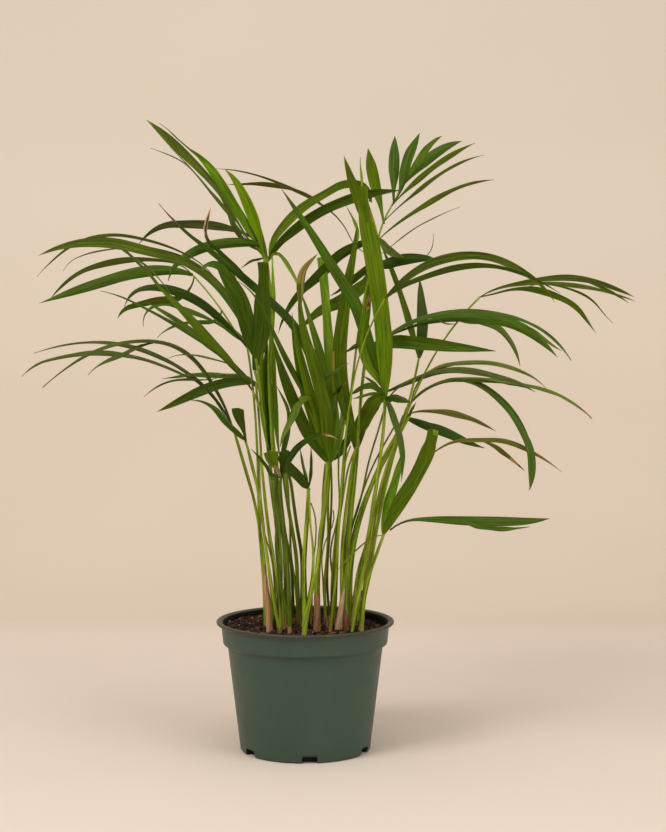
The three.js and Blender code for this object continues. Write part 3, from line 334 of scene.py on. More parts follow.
SHOOTS = [
    (-29.9, -6, -50, 189.4, 2.2, 1.5, [93, 99, 100, 93, 106, 105, 104], "green", 0, "tan"),
    (-28.2, -2, -48, 175.1, 2.2, 1.5, [95, 96, 96, 97, 96, 105, 98], "mid", 0, "tan"),
    (-21.6, -34, -44, 164, 2.8, 1.8, [90, 94, 98, 100, 96, 96, 93], "bright", 0, "tan"),
    (-19.2, -22, -34, 147.4, 2.6, 1.8, [93, 94, 94, 95, 96, 98, 95], "green", 0, "tan"),
    (-25.9, -14, -24, 162.3, 2, 1.4, [97, 97, 100, 93, 97, 92, 90], "bright", 0, "tan"),
    (-24.8, -20, -10, 155.6, 2.2, 1.4, [94, 95, 94, 108, 99, 93, 93], "olive", 20, "red"),
    (-12.4, -40, -34, 140.8, 3.2, 3.2, [102, 102, 99, 97, 86, 97, 94], "deep", 0, "tan"),
    (-15.9, -8, -20, 150, 4.4, 4.4, [95, 92, 91, 93, 102, 97, 79], "deep", 0, "tan"),
    (-10.7, 6, -16, 147.9, 3.4, 3, [92, 92, 92, 103, 96, 95, 83], "deep", 0, "tan"),
    (-5.9, 2, -14, 149.6, 4.4, 3.6, [92, 92, 91, 98, 100, 98, 96], "mid", 0, "tan"),
    (-4.3, 16, 8, 154.5, 4, 3.4, [87, 89, 90, 100, 98, 97, 118], "deep", 0, "tan"),
    (-2.1, -6, -30, 132.1, 5, 3, [87, 88, 92, 88, 82, 87, 92], "mid", 0, "tan"),
    (0.4, 12, 4, 128.7, 3.2, 2.4, [89, 91, 92, 87, 85, 88, 88], "deep", 0, "tan"),
    (-0.4, -52, -50, 132.7, 4.4, 2, [86, 81, 80, 88, 98, 92, 92], "bright", 0, "tan"),
    (0.4, -46, -26, 156.8, 3.4, 3.4, [85, 79, 76, 89, 79, 87, 87], "bright", 0, "tan"),
    (18.3, 4, -10, 154.1, 3.4, 3, [88, 93, 83, 87, 93, 86, 92], "green", 0, "tan"),
    (22.9, 16, 2, 153.2, 2.8, 2.2, [95, 94, 88, 85, 87, 90, 94], "deep", 0, "tan"),
    (21.1, -14, -6, 111.5, 2, 1.2, [98, 99, 91, 96, 76, 61, 105], "olive", 0, "tan"),
    (25.8, -4, -8, 193.6, 2.6, 1.8, [96, 89, 85, 81, 94, 87, 71], "green", 14, "red"),
    (27.6, -6, -22, 167.8, 2.6, 2, [88, 88, 88, 88, 81, 81, 64], "mid", 0, "tan"),
    (35, -10, -30, 170.2, 4, 3.4, [93, 91, 90, 85, 83, 82, 75], "bright", 0, "tan"),
    (36.9, -8, -12, 166.6, 4, 3.6, [90, 91, 89, 84, 84, 83, 85], "mid", 0, "tan"),
    (40.7, 8, -4, 208.1, 2.8, 2, [91, 95, 84, 71, 80, 72, 76], "mid", 0, "tan"),
    (42.4, -12, -24, 214.4, 5, 4.4, [93, 90, 82, 73, 68, 59, 74], "green", 0, "tan"),
    (44.1, -20, -22, 206.3, 3.2, 3, [86, 87, 71, 84, 78, 58, 63], "bright", 0, "tan"),
    (47.1, -6, -10, 215.4, 2.6, 2, [85, 81, 72, 82, 73, 72, 75], "green", 0, "tan"),
    (43.1, -34, -30, 212.9, 2.8, 1.8, [82, 77, 80, 80, 75, 67, 76], "bright", 0, "tan"),
    (28.5, -2, -14, 171.1, 2.2, 1.6, [96, 92, 98, 74, 83, 84, 68], "mid", 0, "tan"),
    (-7.3, 24, 20, 152.7, 3, 2.2, [92, 95, 100, 90, 93, 93, 113], "green", 0, "tan"),
    (5.2, 6, -16, 117.5, 2, 1.4, [87, 88, 90, 84, 84, 93, 114], "mid", 0, "tan"),
    (35.2, 26, 20, 196.7, 2.6, 1.8, [97, 80, 87, 73, 71, 62, 59], "deep", 0, "tan"),
    (9.7, 22, 14, 150.6, 3, 2.2, [91, 88, 84, 80, 94, 86, 84], "deep", 0, "tan"),
]

# ---------------------------------------------------------------- colours
def lin(r, g, b):
    f = lambda c: c / 12.92 if c <= 0.04045 else ((c + 0.055) / 1.055) ** 2.4
    return tuple(f(c / 255.0) for c in (r, g, b))


def shade(c, k):
    return tuple(min(1.0, v * k) for v in c)


def material(name):
    m = bpy.data.materials.new(name)
    m.use_nodes = True
    nt = m.node_tree
    for n in list(nt.nodes):
        if n.type != "OUTPUT_MATERIAL":
            nt.nodes.remove(n)
    out = nt.nodes[0]
    b = nt.nodes.new("ShaderNodeBsdfPrincipled")
    nt.links.new(b.outputs["BSDF"], out.inputs["Surface"])
    return m, nt, b


def node(nt, kind, **values):
    n = nt.nodes.new(kind)
    for k, v in values.items():
        if hasattr(n, k):
            setattr(n, k, v)
        else:
            n.inputs[k.replace("_", " ")].default_value = v
    return n


def ramp(nt, stops, src):
    r = nt.nodes.new("ShaderNodeValToRGB")
    el = r.color_ramp.elements
    while len(el) < len(stops):
        el.new(0.5)
    for e, (p, c) in zip(el, stops):
        e.position = p
        e.color = (*c, 1.0)
    nt.links.new(src, r.inputs["Fac"])
    return r.outputs["Color"]


def noise(nt, vec, scale, detail=3.0, rough=0.55, distortion=0.0):
    n = nt.nodes.new("ShaderNodeTexNoise")
    n.inputs["Scale"].default_value = scale
    n.inputs["Detail"].default_value = detail
    n.inputs["Roughness"].default_value = rough
    n.inputs["Distortion"].default_value = distortion
    nt.links.new(vec, n.inputs["Vector"])
    return n.outputs["Fac"]


def mapped(nt, src, scale):
    m = nt.nodes.new("ShaderNodeMapping")
    m.inputs["Scale"].default_value = scale
    nt.links.new(src, m.inputs["Vector"])
    return m.outputs["Vector"]


def bump(nt, bsdf, height, strength, distance):
    b = nt.nodes.new("ShaderNodeBump")
    b.inputs["Strength"].default_value = strength
    b.inputs["Distance"].default_value = distance
    nt.links.new(height, b.inputs["Height"])
    nt.links.new(b.outputs["Normal"], bsdf.inputs["Normal"])


def mix_colour(nt, fac, a, b, blend="MIX"):
    m = nt.nodes.new("ShaderNodeMix")
    m.data_type = "RGBA"
    m.blend_type = blend
    if isinstance(fac, float):
        m.inputs[0].default_value = fac
    else:
        nt.links.new(fac, m.inputs[0])
    for sock, v in ((6, a), (7, b)):
        if isinstance(v, tuple):
            m.inputs[sock].default_value = (*v, 1.0)
        else:
            nt.links.new(v, m.inputs[sock])
    return m.outputs[2]


def leaf_material(name, base, rough=0.42, spread=0.42, yellow=0.35, vein=1.0):
    """fine lengthwise streaks along the blade (UV: centimetres across and along) over slow blotches"""
    m, nt, b = material(name)
    uv = node(nt, "ShaderNodeUVMap")
    uv.uv_map = "blade"
    pos = node(nt, "ShaderNodeTexCoord")
    streak = noise(nt, mapped(nt, uv.outputs["UV"], (3.4, 0.16, 1.0)), 2.2, 4.0, 0.6)
    slow = noise(nt, mapped(nt, pos.outputs["Object"], (1.0, 1.0, 1.0)), 16.0, 2.0, 0.5)
    c1 = ramp(nt, [(0.34, shade(base, 1 - spread)), (0.51, base), (0.68, shade(base, 1 + spread * 1.2))], streak)
    warm = (min(1.0, base[0] * 1.35 + 0.012), base[1] * 1.12, base[2] * 0.9)
    c2 = ramp(nt, [(0.42, (0.0, 0.0, 0.0)), (0.68, (yellow, yellow, yellow))], slow)
    colour = mix_colour(nt, c2, c1, warm)
    nt.links.new(colour, b.inputs["Base Color"])
    b.inputs["Roughness"].default_value = rough
    b.inputs["Specular IOR Level"].default_value = 0.08
    ribs = node(nt, "ShaderNodeTexWave")
    ribs.bands_direction = "X"
    ribs.inputs["Scale"].default_value = 5.0
    ribs.inputs["Distortion"].default_value = 0.4
    ribs.inputs["Detail"].default_value = 1.0
    nt.links.new(mapped(nt, uv.outputs["UV"], (1.0, 0.04, 1.0)), ribs.inputs["Vector"])
    bump(nt, b, ribs.outputs["Fac"], 0.35 * vein, 0.0003)
    return m


LEAF = {
    # tint: base colour, its midrib
    "dark": (lin(43, 66, 6), lin(54, 76, 10)),
    "mid": (lin(59, 84, 6), lin(70, 95, 12)),
    "green": (lin(77, 101, 5), lin(89, 113, 12)),
    "light": (lin(87, 115, 7), lin(108, 134, 20)),
    "bright": (lin(93, 128, 7), lin(114, 146, 22)),
    "lime": (lin(110, 148, 8), lin(132, 165, 26)),
    "dusk": (lin(64, 76, 22), lin(77, 87, 34)),
    "young": (lin(110, 138, 14), lin(137, 157, 38)),
    "grey": (lin(89, 97, 28), lin(97, 111, 44)),
    "soft": (lin(81, 101, 25), lin(101, 117, 42)),
    "moss": (lin(84, 86, 16), lin(94, 96, 24)),
    "straw": (lin(136, 126, 60), lin(146, 136, 72)),
    "pale": (lin(116, 144, 30), lin(145, 165, 62)),
    "olive": (lin(99, 101, 20), lin(116, 113, 36)),
    "husk": (lin(234, 187, 150), lin(207, 154, 116)),
    "dry": (lin(132, 107, 62), lin(155, 132, 84)),
}
leaf_mats = {}
for tint, (c, rib) in LEAF.items():
    leaf_mats[tint] = leaf_material("leaf_" + tint, c, rough=0.40 if tint in ("dark", "mid") else 0.45)
    leaf_mats[tint + "_rib"] = leaf_material("rib_" + tint, rib, rough=0.5, spread=0.12, yellow=0.15, vein=0.5)
leaf_mats["brown"] = leaf_material("leaf_brown_tip", lin(110, 80, 42), rough=0.7, spread=0.35, yellow=0.1)
leaf_mats["char_rib"] = leaf_material("rib_dark_curl", lin(70, 50, 28), rough=0.7)
leaf_mats["tan"] = leaf_material("leaf_tan_scar", lin(162, 134, 98), rough=0.7, spread=0.3, yellow=0.1)
leaf_mats["char"] = leaf_material("leaf_dark_curl", lin(58, 40, 22), rough=0.7, spread=0.3, yellow=0.1)
leaf_mats["rust"] = leaf_material("leaf_rust", lin(158, 130, 52), rough=0.65, spread=0.3, yellow=0.1)


# ---------------------------------------------------------------- mesh helpers
def obj_from(name, verts, faces, mats, face_mats=None, uvs=None, smooth=True):
    me = bpy.data.meshes.new(name)
    v = np.asarray(verts, float) * MM
    me.from_pydata(v.tolist(), [], [tuple(int(i) for i in f) for f in faces])
    for m in mats:
        me.materials.append(m)
    if face_mats is not None:
        me.polygons.foreach_set("material_index", np.asarray(face_mats, np.int32))
    if smooth:
        me.polygons.foreach_set("use_smooth", np.ones(len(me.polygons), bool))
    if uvs is not None:
        layer = me.uv_layers.new(name="blade")
        loops = np.zeros(len(me.loops), np.int32)
        me.loops.foreach_get("vertex_index", loops)
        layer.data.foreach_set("uv", np.asarray(uvs, float)[loops].ravel())
    me.update()
    o = bpy.data.objects.new(name, me)
    bpy.context.scene.collection.objects.link(o)
    return o


class Joined:
    """collects many small meshes into one piece"""

    def __init__(self):
        self.v, self.f, self.m, self.uv, self.slots = [], [], [], [], []
        self.n = 0

    def slot_of(self, mat):
        if mat not in self.slots:
            self.slots.append(mat)
        return self.slots.index(mat)

    def add(self, verts, faces, mats, uvs):
        self.v.append(verts)
        self.uv.append(uvs)
        for f, m in zip(faces, mats):
            self.f.append([i + self.n for i in f])
            self.m.append(self.slot_of(m))
        self.n += len(verts)

    def make(self, name, node_names=()):
        o = obj_from(name, np.concatenate(self.v), self.f, self.slots, self.m, np.concatenate(self.uv))
        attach(o, "root")
        if node_names:
            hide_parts(*node_names)
        return o


def heading(list_, s):
    k = len(list_) - 1
    return np.radians(np.interp(s * k, np.arange(k + 1), list_))


def centre_line(x, z, y0, y1, length, headings, power, stations):
    fine = 96
    mid = (np.arange(fine) + 0.5) / fine
    h = heading(headings, mid)
    px = x + np.r_[0, np.cumsum(np.cos(h))] * length / fine
    pz = z + np.r_[0, np.cumsum(np.sin(h))] * length / fine
    t = np.arange(fine + 1) / fine
    py = y0 + (y1 - y0) * t**power
    return np.stack([np.interp(stations, t, a) for a in (px, py, pz)], -1)


def tangents(p):
    t = np.gradient(p, axis=0)
    return t / np.linalg.norm(t, axis=1, keepdims=True)


def unit(a):
    return a / np.maximum(np.linalg.norm(a, axis=-1, keepdims=True), 1e-9)


def leaf_profile(s, end, slow=0.32, broad=0.42):
    if slow > 0.34:
        k = np.minimum(s / slow, 1)
        rise = 0.2 + 0.8 * (k * k * (3 - 2 * k)) ** 1.4
        broad = max(broad, slow)
    else:
        rise = 1 - 0.74 * (1 - np.minimum(s / slow, 1)) ** 2
    fall = np.where(s < broad, 1.0, 1 - (np.maximum(s - broad, 0) / (1 - broad)) ** 1.9)
    return rise * np.where(s < broad, fall, np.maximum(fall, end))


ACROSS = np.array([-1.0, -0.52, -0.045, 0.045, 0.52, 1.0])
FINE = np.array([-1.0, -0.86, -0.7, -0.52, -0.34, -0.18, -0.045, 0.045, 0.18, 0.34, 0.52, 0.7, 0.86, 1.0])


def leaflet(to, row, rand):
    x, z, y0, y1, length, width, end, headings, tint, brown = row[:10]
    stains = row[10] if len(row) > 10 else ()
    slow = row[11] if len(row) > 11 else 0.32
    broad = row[12] if len(row) > 12 else 0.42
    cols = FINE if stains else ACROSS
    k = len(cols)
    n = int(min(46, max(12, length / 6.0 + 8)))
    if stains:
        n = max(n * 2, 30)
    # closer stations at the tip, so it tapers cleanly
    s = 1 - (1 - np.linspace(0, 1, n)) ** 1.25
    p = centre_line(x, z, y0, y1, length, headings, 1.2, s)
    t = tangents(p)
    full = max(width, min(9.5, width * 2))
    lean = (1 if p[0, 2] + p[-1, 2] > 2 * EYE_Z else -1) * (-1 if p[-1, 0] < p[0, 0] else 1)
    roll = lean * math.acos(min(1.0, width / full)) + rand.normal(0, 0.08) + rand.normal(0, 0.18) * s
    across = unit(np.stack([-t[:, 2], np.zeros(n), t[:, 0]], -1))
    deep = np.cross(t, across)
    roll = np.broadcast_to(roll, (n,))[:, None]
    side = across * np.cos(roll) + deep * np.sin(roll)
    up = unit(np.cross(t, side))
    if up[:, 2].sum() < 0:
        side, up = -side, -up
    hand = 1.0 if side[:, 0].sum() + 0.3 * side[:, 2].sum() >= 0 else -1.0
    half = full / 2 * leaf_profile(s, end, slow, broad)
    half *= 1 + 0.03 * np.sin(s * rand.uniform(9, 16) + rand.uniform(0, 6))
    half[-1] = max(half[-1], 0.12) if not end else half[-1]
    fold = rand.uniform(0.2, 0.34)
    pleat = rand.uniform(0.035, 0.07)
    h = -fold * np.abs(cols) + pleat * np.cos(np.abs(cols) * 12.0) * (np.abs(cols) > 0.1)
    h[np.abs(cols) < 0.1] += 0.03
    thick = 0.26 - 0.2 * np.abs(cols)
    wave = 0.35 * np.sin(s * rand.uniform(10, 18) + rand.uniform(0, 6)) * np.minimum(1, half / 4)
    verts, uvs = [], []
    off = rand.uniform(0, 50, 2)
    run = np.r_[0, np.cumsum(np.linalg.norm(np.diff(p, axis=0), axis=1))]
    for layer in (1, -1):
        for c, a in enumerate(cols):
            ripple = wave * (a if c in (0, k - 1) else 0)
            q = p + side * (a * half)[:, None] + up * (h[c] * half + layer * thick[c] + ripple)[:, None]
            verts.append(q)
            uvs.append(np.stack([a * half / 10 + off[0], run / 10 + off[1]], -1))
    verts = np.concatenate(verts)
    uvs = np.concatenate(uvs)
    idx = lambda layer, c, i: (layer * k + c) * n + i
    faces, mats = [], []
    body, rib = leaf_mats[tint], leaf_mats[tint + "_rib"]
    tip = 1 - brown
    jag = rand.normal(0, 0.012, (n, k))
    for i in range(n - 1):
        for c in range(k - 1):
            mid = (cols[c] + cols[c + 1]) / 2
            m = rib if abs(mid) < 0.02 else body
            here = (s[i] + s[i + 1]) / 2
            if brown and here > tip + jag[i, c]:
                m = leaf_mats["char" if tint == "char" else "dry" if tint == "dry" else "brown"]
            for s0, s1, a0, a1, kind in stains:
                u = (here - (s0 + s1) / 2) / ((s1 - s0) / 2)
                v = (mid * hand - (a0 + a1) / 2) / ((a1 - a0) / 2)
                if u * u + v * v < 1 + 22 * jag[i, c]:
                    m = leaf_mats[kind]
            faces.append([idx(0, c, i), idx(0, c + 1, i), idx(0, c + 1, i + 1), idx(0, c, i + 1)])
            mats.append(m)
            faces.append([idx(1, c, i), idx(1, c, i + 1), idx(1, c + 1, i + 1), idx(1, c + 1, i)])
            mats.append(m)
    # the two long edges and both ends have vertices of their own, so the blade stays crisp there
    base = 2 * k * n
    extra, extra_uv = [], []
    for c, flip in ((0, False), (k - 1, True)):
        top = base + len(extra)
        take = [idx(0, c, i) for i in range(n)] + [idx(1, c, i) for i in range(n)]
        extra += [verts[i] for i in take]
        extra_uv += [uvs[i] for i in take]
        for i in range(n - 1):
            q = [top + i, top + i + 1, top + n + i + 1, top + n + i]
            faces.append(q[::-1] if flip else q)
            mats.append(body)
    for i, flip in ((0, False), (n - 1, True)):
        top = base + len(extra)
        take = [idx(0, c, i) for c in range(k)] + [idx(1, c, i) for c in range(k)]
        extra += [verts[j] for j in take]
        extra_uv += [uvs[j] for j in take]
        for c in range(k - 1):
            q = [top + c, top + k + c, top + k + c + 1, top + c + 1]
            faces.append(q[::-1] if flip else q)
            mats.append(leaf_mats["brown"] if (i and brown) else body)
    verts = np.concatenate([verts, np.array(extra)])
    uvs = np.concatenate([uvs, np.array(extra_uv)])
    to.add(verts, faces, mats, uvs)


def tube(to, p, radius, mat, sides=12, groove=0.16, ragged=None, uv_off=0.0, foot=None):
    """closed rod round the points p; groove hollows the side that faces in; foot gives the lowest stretch, ragged by side, a material of its own"""
    n = len(p)
    t = tangents(p)
    ref = np.array([0.0, 1.0, 0.0])
    a = unit(np.cross(np.broadcast_to(ref, t.shape), t))
    b = np.cross(t, a)
    th = np.arange(sides) / sides * 2 * math.pi
    verts, uvs = [], []
    run = np.r_[0, np.cumsum(np.linalg.norm(np.diff(p, axis=0), axis=1))]
    for j, w in enumerate(th):
        dent = 1 - groove * math.exp(-((math.remainder(w - 0.5 * math.pi, 2 * math.pi) / 0.55) ** 2))
        r = radius * dent
        q = p + a * (math.cos(w) * r)[:, None] + b * (math.sin(w) * r)[:, None]
        if ragged is not None:
            q[-1] += t[-1] * ragged[j]
        verts.append(q)
        uvs.append(np.stack([w * radius / 10 + uv_off, run / 10 + uv_off], -1))
    verts = np.concatenate(verts)
    uvs = np.concatenate(uvs)
    faces, mats = [], []
    for j in range(sides):
        j2 = (j + 1) % sides
        for i in range(n - 1):
            faces.append([j * n + i, j2 * n + i, j2 * n + i + 1, j * n + i + 1])
            mats.append(foot[0] if foot is not None and run[i + 1] < foot[1][j] else mat)
    faces.append([j * n for j in range(sides)][::-1])
    mats.append(mat)
    faces.append([j * n + n - 1 for j in range(sides)])
    mats.append(mat)
    to.add(verts, faces, mats, uvs)


# ---------------------------------------------------------------- stems
def stem_material(name, base, rough=0.5, spread=0.56, warm=None, warm_share=0.3):
    m, nt, b = material(name)
    uv = node(nt, "ShaderNodeUVMap")
    uv.uv_map = "blade"
    pos = node(nt, "ShaderNodeTexCoord")
    streak = noise(nt, mapped(nt, uv.outputs["UV"], (2.2, 0.11, 1.0)), 2.5, 4.0, 0.6)
    c1 = ramp(nt, [(0.38, shade(base, 1 - spread)), (0.49, base), (0.63, shade(base, 1 + spread))], streak)
    slow = noise(nt, mapped(nt, pos.outputs["Object"], (1.0, 1.0, 0.45)), 34.0, 3.0, 0.6)
    fac = ramp(nt, [(0.45, (0, 0, 0)), (0.7, (warm_share,) * 3)], slow)
    colour = mix_colour(nt, fac, c1, warm or (base[0] * 1.3, base[1] * 1.05, base[2] * 0.9))
    nt.links.new(colour, b.inputs["Base Color"])
    b.inputs["Roughness"].default_value = rough
    b.inputs["Specular IOR Level"].default_value = 0.12
    bump(nt, b, streak, 0.3, 0.0004)
    return m


STEM = {
    "green": stem_material("stem_green", lin(113, 133, 20)),
    "bright": stem_material("stem_bright", lin(124, 142, 28)),
    "deep": stem_material("stem_deep", lin(77, 94, 14)),
    "mid": stem_material("stem_mid", lin(102, 119, 18)),
    "olive": stem_material("stem_olive", lin(112, 120, 30), warm=lin(138, 118, 58)),
    "pale": stem_material("stem_pale", lin(156, 166, 84)),
}
FEET = [
    stem_material("foot_pale", lin(152, 148, 74), spread=0.3),
    stem_material("foot_pink", lin(150, 112, 84), rough=0.6, spread=0.35),
    stem_material("foot_brown", lin(112, 84, 50), rough=0.65, spread=0.4),
]
SHEATH = {
    "tan": stem_material("sheath_tan", lin(168, 124, 86), rough=0.7, spread=0.4, warm=lin(122, 84, 50), warm_share=0.7),
    "brown": stem_material("sheath_brown", lin(134, 94, 62), rough=0.7, spread=0.4, warm=lin(96, 64, 40), warm_share=0.7),
    "pink": stem_material("sheath_pink", lin(200, 158, 124), rough=0.65, spread=0.3, warm=lin(176, 116, 88), warm_share=0.7),
    "red": stem_material("sheath_red", lin(108, 66, 46), rough=0.6, spread=0.3, warm=lin(76, 42, 32), warm_share=0.8),
    "dark": stem_material("sheath_dark", lin(70, 52, 34), rough=0.7, spread=0.35, warm=lin(48, 36, 24), warm_share=0.8),
}


def stem_rod(to, row, rand, thin=1.0):
    x, y0, y1, length, d0, d1, headings, tint, sheath, sheath_tint = row
    n = int(max(14, length / 7))
    s = np.linspace(0, 1, n)
    p = centre_line(x, SOIL_Z, y0, y1, length, headings, 1.0, s)
    foot = p[0].copy()
    foot[2] -= 2.5
    low = np.linspace(0, s[1], 4)[1:-1]
    p = np.concatenate([[foot], p[:1], p[0] + (p[1] - p[0]) * (low / s[1])[:, None], p[1:]])
    s = np.r_[0, 0, low, s[1:]]
    r = (d0 + (d1 - d0) * np.minimum(1, s * 1.35)) / 2 * thin
    r = r * (1 + 0.22 * np.exp(-((s / 0.05) ** 2)))
    kind, reach = rand.choice(4, p=[0.26, 0.22, 0.18, 0.34]), rand.uniform(5, 22)
    colour = None if kind == 3 else (FEET[kind], reach * rand.uniform(0.55, 1.35, 12) + 2.5)
    tube(to, p, r, STEM[tint], uv_off=rand.uniform(0, 40), foot=colour)
    if sheath:
        top = min(0.96, sheath / length)
        m = int(max(8, sheath / 6))
        q = np.linspace(0, top, m)
        ps = centre_line(x, SOIL_Z, y0, y1, length, headings, 1.0, q)
        foot = ps[0].copy()
        foot[2] -= 2.5
        ps = np.concatenate([[foot], ps])
        q = np.r_[0, q]
        rs = np.interp(q, s, r) * (1.30 - 0.14 * q / top) + 0.35
        rs[-1] = np.interp(q[-1], s, r) + 0.1
        sides = 14
        ragged = 5 + 7 * np.cos(np.arange(sides) / sides * 2 * math.pi + rand.uniform(0, 6)) + rand.normal(0, 1.5, sides)
        tube(to, ps, rs, SHEATH[sheath_tint], sides=sides, groove=0.1, ragged=ragged, uv_off=rand.uniform(0, 40))


for name, row in STEMS.items():
    if name.startswith("back"):
        continue
    bag = Joined()
    stem_rod(bag, row, rng, 0.74)
    if name == "front_left":
        for blade in BUNDLE:
            leaflet(bag, blade, rng)
    bag.make("stalk_" + name, ["stem_" + name])

shoots = Joined()
for row in SHOOTS:
    stem_rod(shoots, row, rng, 0.9)
shoots.make("young_shoots")

# ---------------------------------------------------------------- fronds
for name, rows in FRONDS.items():
    bag = Joined()
    for row in rows:
        if row[8] == "rib":
            x, z, y0, y1, length, width, end, headings = row[:8]
            s = np.linspace(0, 1, 20)
            tube(bag, centre_line(x, z, y0, y1, length, headings, 1.2, s), 1.05 - 0.35 * s, STEM["green"], sides=8)
        else:
            leaflet(bag, row, rng)
    if name.startswith("back"):
        stem_rod(bag, STEMS[name], rng, 0.8)
    bag.make("leaves_" + name, [name])

# ---------------------------------------------------------------- pot
RIM_R, LIP, COLLAR_R, COLLAR_FOOT_R, BODY_TOP_R, FOOT_R, HEIGHT, CREASE, WALL = 82.5, 2.9, 78.0, 76.5, 72.5, 60.5, 120.0, 100.0, 2.2


def arc(cx, cz, r, a0, a1, n):
    return [(cx + r * math.cos(math.radians(a)), cz + r * math.sin(math.radians(a))) for a in np.linspace(a0, a1, n)]


body_r = lambda z: FOOT_R + (BODY_TOP_R - FOOT_R) * z / CREASE
outline = [(0.0, 0.0), (FOOT_R - 12, 0.0)] + arc(FOOT_R - 0.9, 0.9, 0.9, -90, 0, 4)
outline += [(body_r(z), z) for z in np.linspace(3, CREASE - 4.2, 16)]
outline += [(BODY_TOP_R + 0.1, CREASE - 3.4), (BODY_TOP_R + 1.3, CREASE - 2.2), (COLLAR_FOOT_R - 0.5, CREASE - 1.0)]
outline += arc(COLLAR_FOOT_R - 0.8, CREASE + 0.2, 0.8, -60, 0, 4)
outline += [(COLLAR_FOOT_R + (COLLAR_R - COLLAR_FOOT_R) * t, CREASE + 1 + t * (HEIGHT - LIP - CREASE - 2.4)) for t in np.linspace(0, 1, 6)]
outline += [(COLLAR_R + 0.5, HEIGHT - LIP - 0.3), (COLLAR_R + 1.6, HEIGHT - LIP + 0.05)]
outline += arc(RIM_R - 1.2, HEIGHT - LIP + 1.25, 1.2, -80, 0, 5)
outline += arc(RIM_R - 1.3, HEIGHT - 1.3, 1.3, 5, 90, 7)
outline += [(RIM_R - 2.9, HEIGHT - 0.12), (COLLAR_R + 0.4, HEIGHT - 0.5)]
outline += [(COLLAR_R - 1.0, HEIGHT - 1.3), (COLLAR_R - WALL, HEIGHT - 3.4)]
first_inside = len(outline) - 3
rim_from = len(outline) - 16
outline += [(COLLAR_FOOT_R - WALL, CREASE + 2), (BODY_TOP_R - WALL, CREASE - 3)]
outline += [(body_r(z) - WALL, z) for z in (70, 40, 12)] + [(body_r(3) - WALL - 1.2, 3.2), (0.0, 3.0)]
SEG = 180
ring = np.array(outline)
ang = np.arange(SEG) / SEG * 2 * math.pi
verts, faces = [], []
inner = ring[1:-1]
for r, z in inner:
    for a in ang:
        verts.append((r * math.cos(a), r * math.sin(a), z))
m = len(inner)
for i in range(m - 1):
    for j in range(SEG):
        j2 = (j + 1) % SEG
        faces.append([i * SEG + j, i * SEG + j2, (i + 1) * SEG + j2, (i + 1) * SEG + j])
verts += [(0, 0, 0), (0, 0, 3.0)]
b0, b1 = m * SEG, m * SEG + 1
for j in range(SEG):
    j2 = (j + 1) % SEG
    faces.append([b0, j2, j])
    faces.append([b1, (m - 1) * SEG + j, (m - 1) * SEG + j2])

pm, nt, b = material("pot_green_plastic")
pos = node(nt, "ShaderNodeTexCoord")
cloud = noise(nt, mapped(nt, pos.outputs["Object"], (1.0, 1.0, 0.5)), 22.0, 4.0, 0.6)
pot_base = lin(47, 68, 52)
nt.links.new(ramp(nt, [(0.3, shade(pot_base, 0.88)), (0.7, shade(pot_base, 1.1))], cloud), b.inputs["Base Color"])
nt.links.new(ramp(nt, [(0.3, (0.40,) * 3), (0.75, (0.54,) * 3)], noise(nt, pos.outputs["Object"], 60.0, 4.0)), b.inputs["Roughness"])
grain = noise(nt, pos.outputs["Object"], 1400.0, 2.0)
bump(nt, b, grain, 0.12, 0.0002)
# inner wall and bottom of the pot: painted shade, a near-black green in place of the shade inside the pot
shade_mat, nt, b = material("pot_inside_painted_shade")
pos = node(nt, "ShaderNodeTexCoord")
inside_shade_colour = lin(13, 18, 10)
nt.links.new(ramp(nt, [(0.3, shade(inside_shade_colour, 0.7)), (0.7, shade(inside_shade_colour, 1.3))], noise(nt, pos.outputs["Object"], 40.0, 4.0)), b.inputs["Base Color"])
b.inputs["Roughness"].default_value = 0.7
b.inputs["Specular IOR Level"].default_value = 0.12
bump(nt, b, noise(nt, pos.outputs["Object"], 900.0, 2.0), 0.12, 0.0002)
# faces cut by the drain notches: painted shade, near-black in place of the shade in the notches
notch_shade_mat, nt, b = material("pot_notch_painted_shade")
pos = node(nt, "ShaderNodeTexCoord")
nt.links.new(ramp(nt, [(0.3, lin(8, 9, 7)), (0.7, lin(20, 22, 16))], noise(nt, pos.outputs["Object"], 60.0, 3.0)), b.inputs["Base Color"])
b.inputs["Roughness"].default_value = 0.9
# rim lip: painted highlight, a lighter mottled band in place of the light line along the rim's top edge
rim_mat, nt, b = material("pot_rim_painted_highlight")
pos = node(nt, "ShaderNodeTexCoord")
rim_highlight = lin(53, 57, 41)
nt.links.new(ramp(nt, [(0.3, shade(rim_highlight, 0.7)), (0.7, shade(rim_highlight, 1.4))], noise(nt, pos.outputs["Object"], 260.0, 4.0, 0.7)), b.inputs["Base Color"])
b.inputs["Roughness"].default_value = 0.45
b.inputs["Specular IOR Level"].default_value = 0.3
bump(nt, b, noise(nt, pos.outputs["Object"], 700.0, 3.0), 0.4, 0.0003)
# face kinds: 0 plastic, 1 painted shade inside, 3 painted highlight on the rim; kind 2, painted shade, goes to the
# notch faces
face_kind = [1 if i >= first_inside else 3 if i >= rim_from else 0 for i in range(m - 1) for _ in range(SEG)] + [0, 1] * SEG
pot = obj_from("nursery_pot", verts, faces, [pm, shade_mat, notch_shade_mat, rim_mat], face_kind)
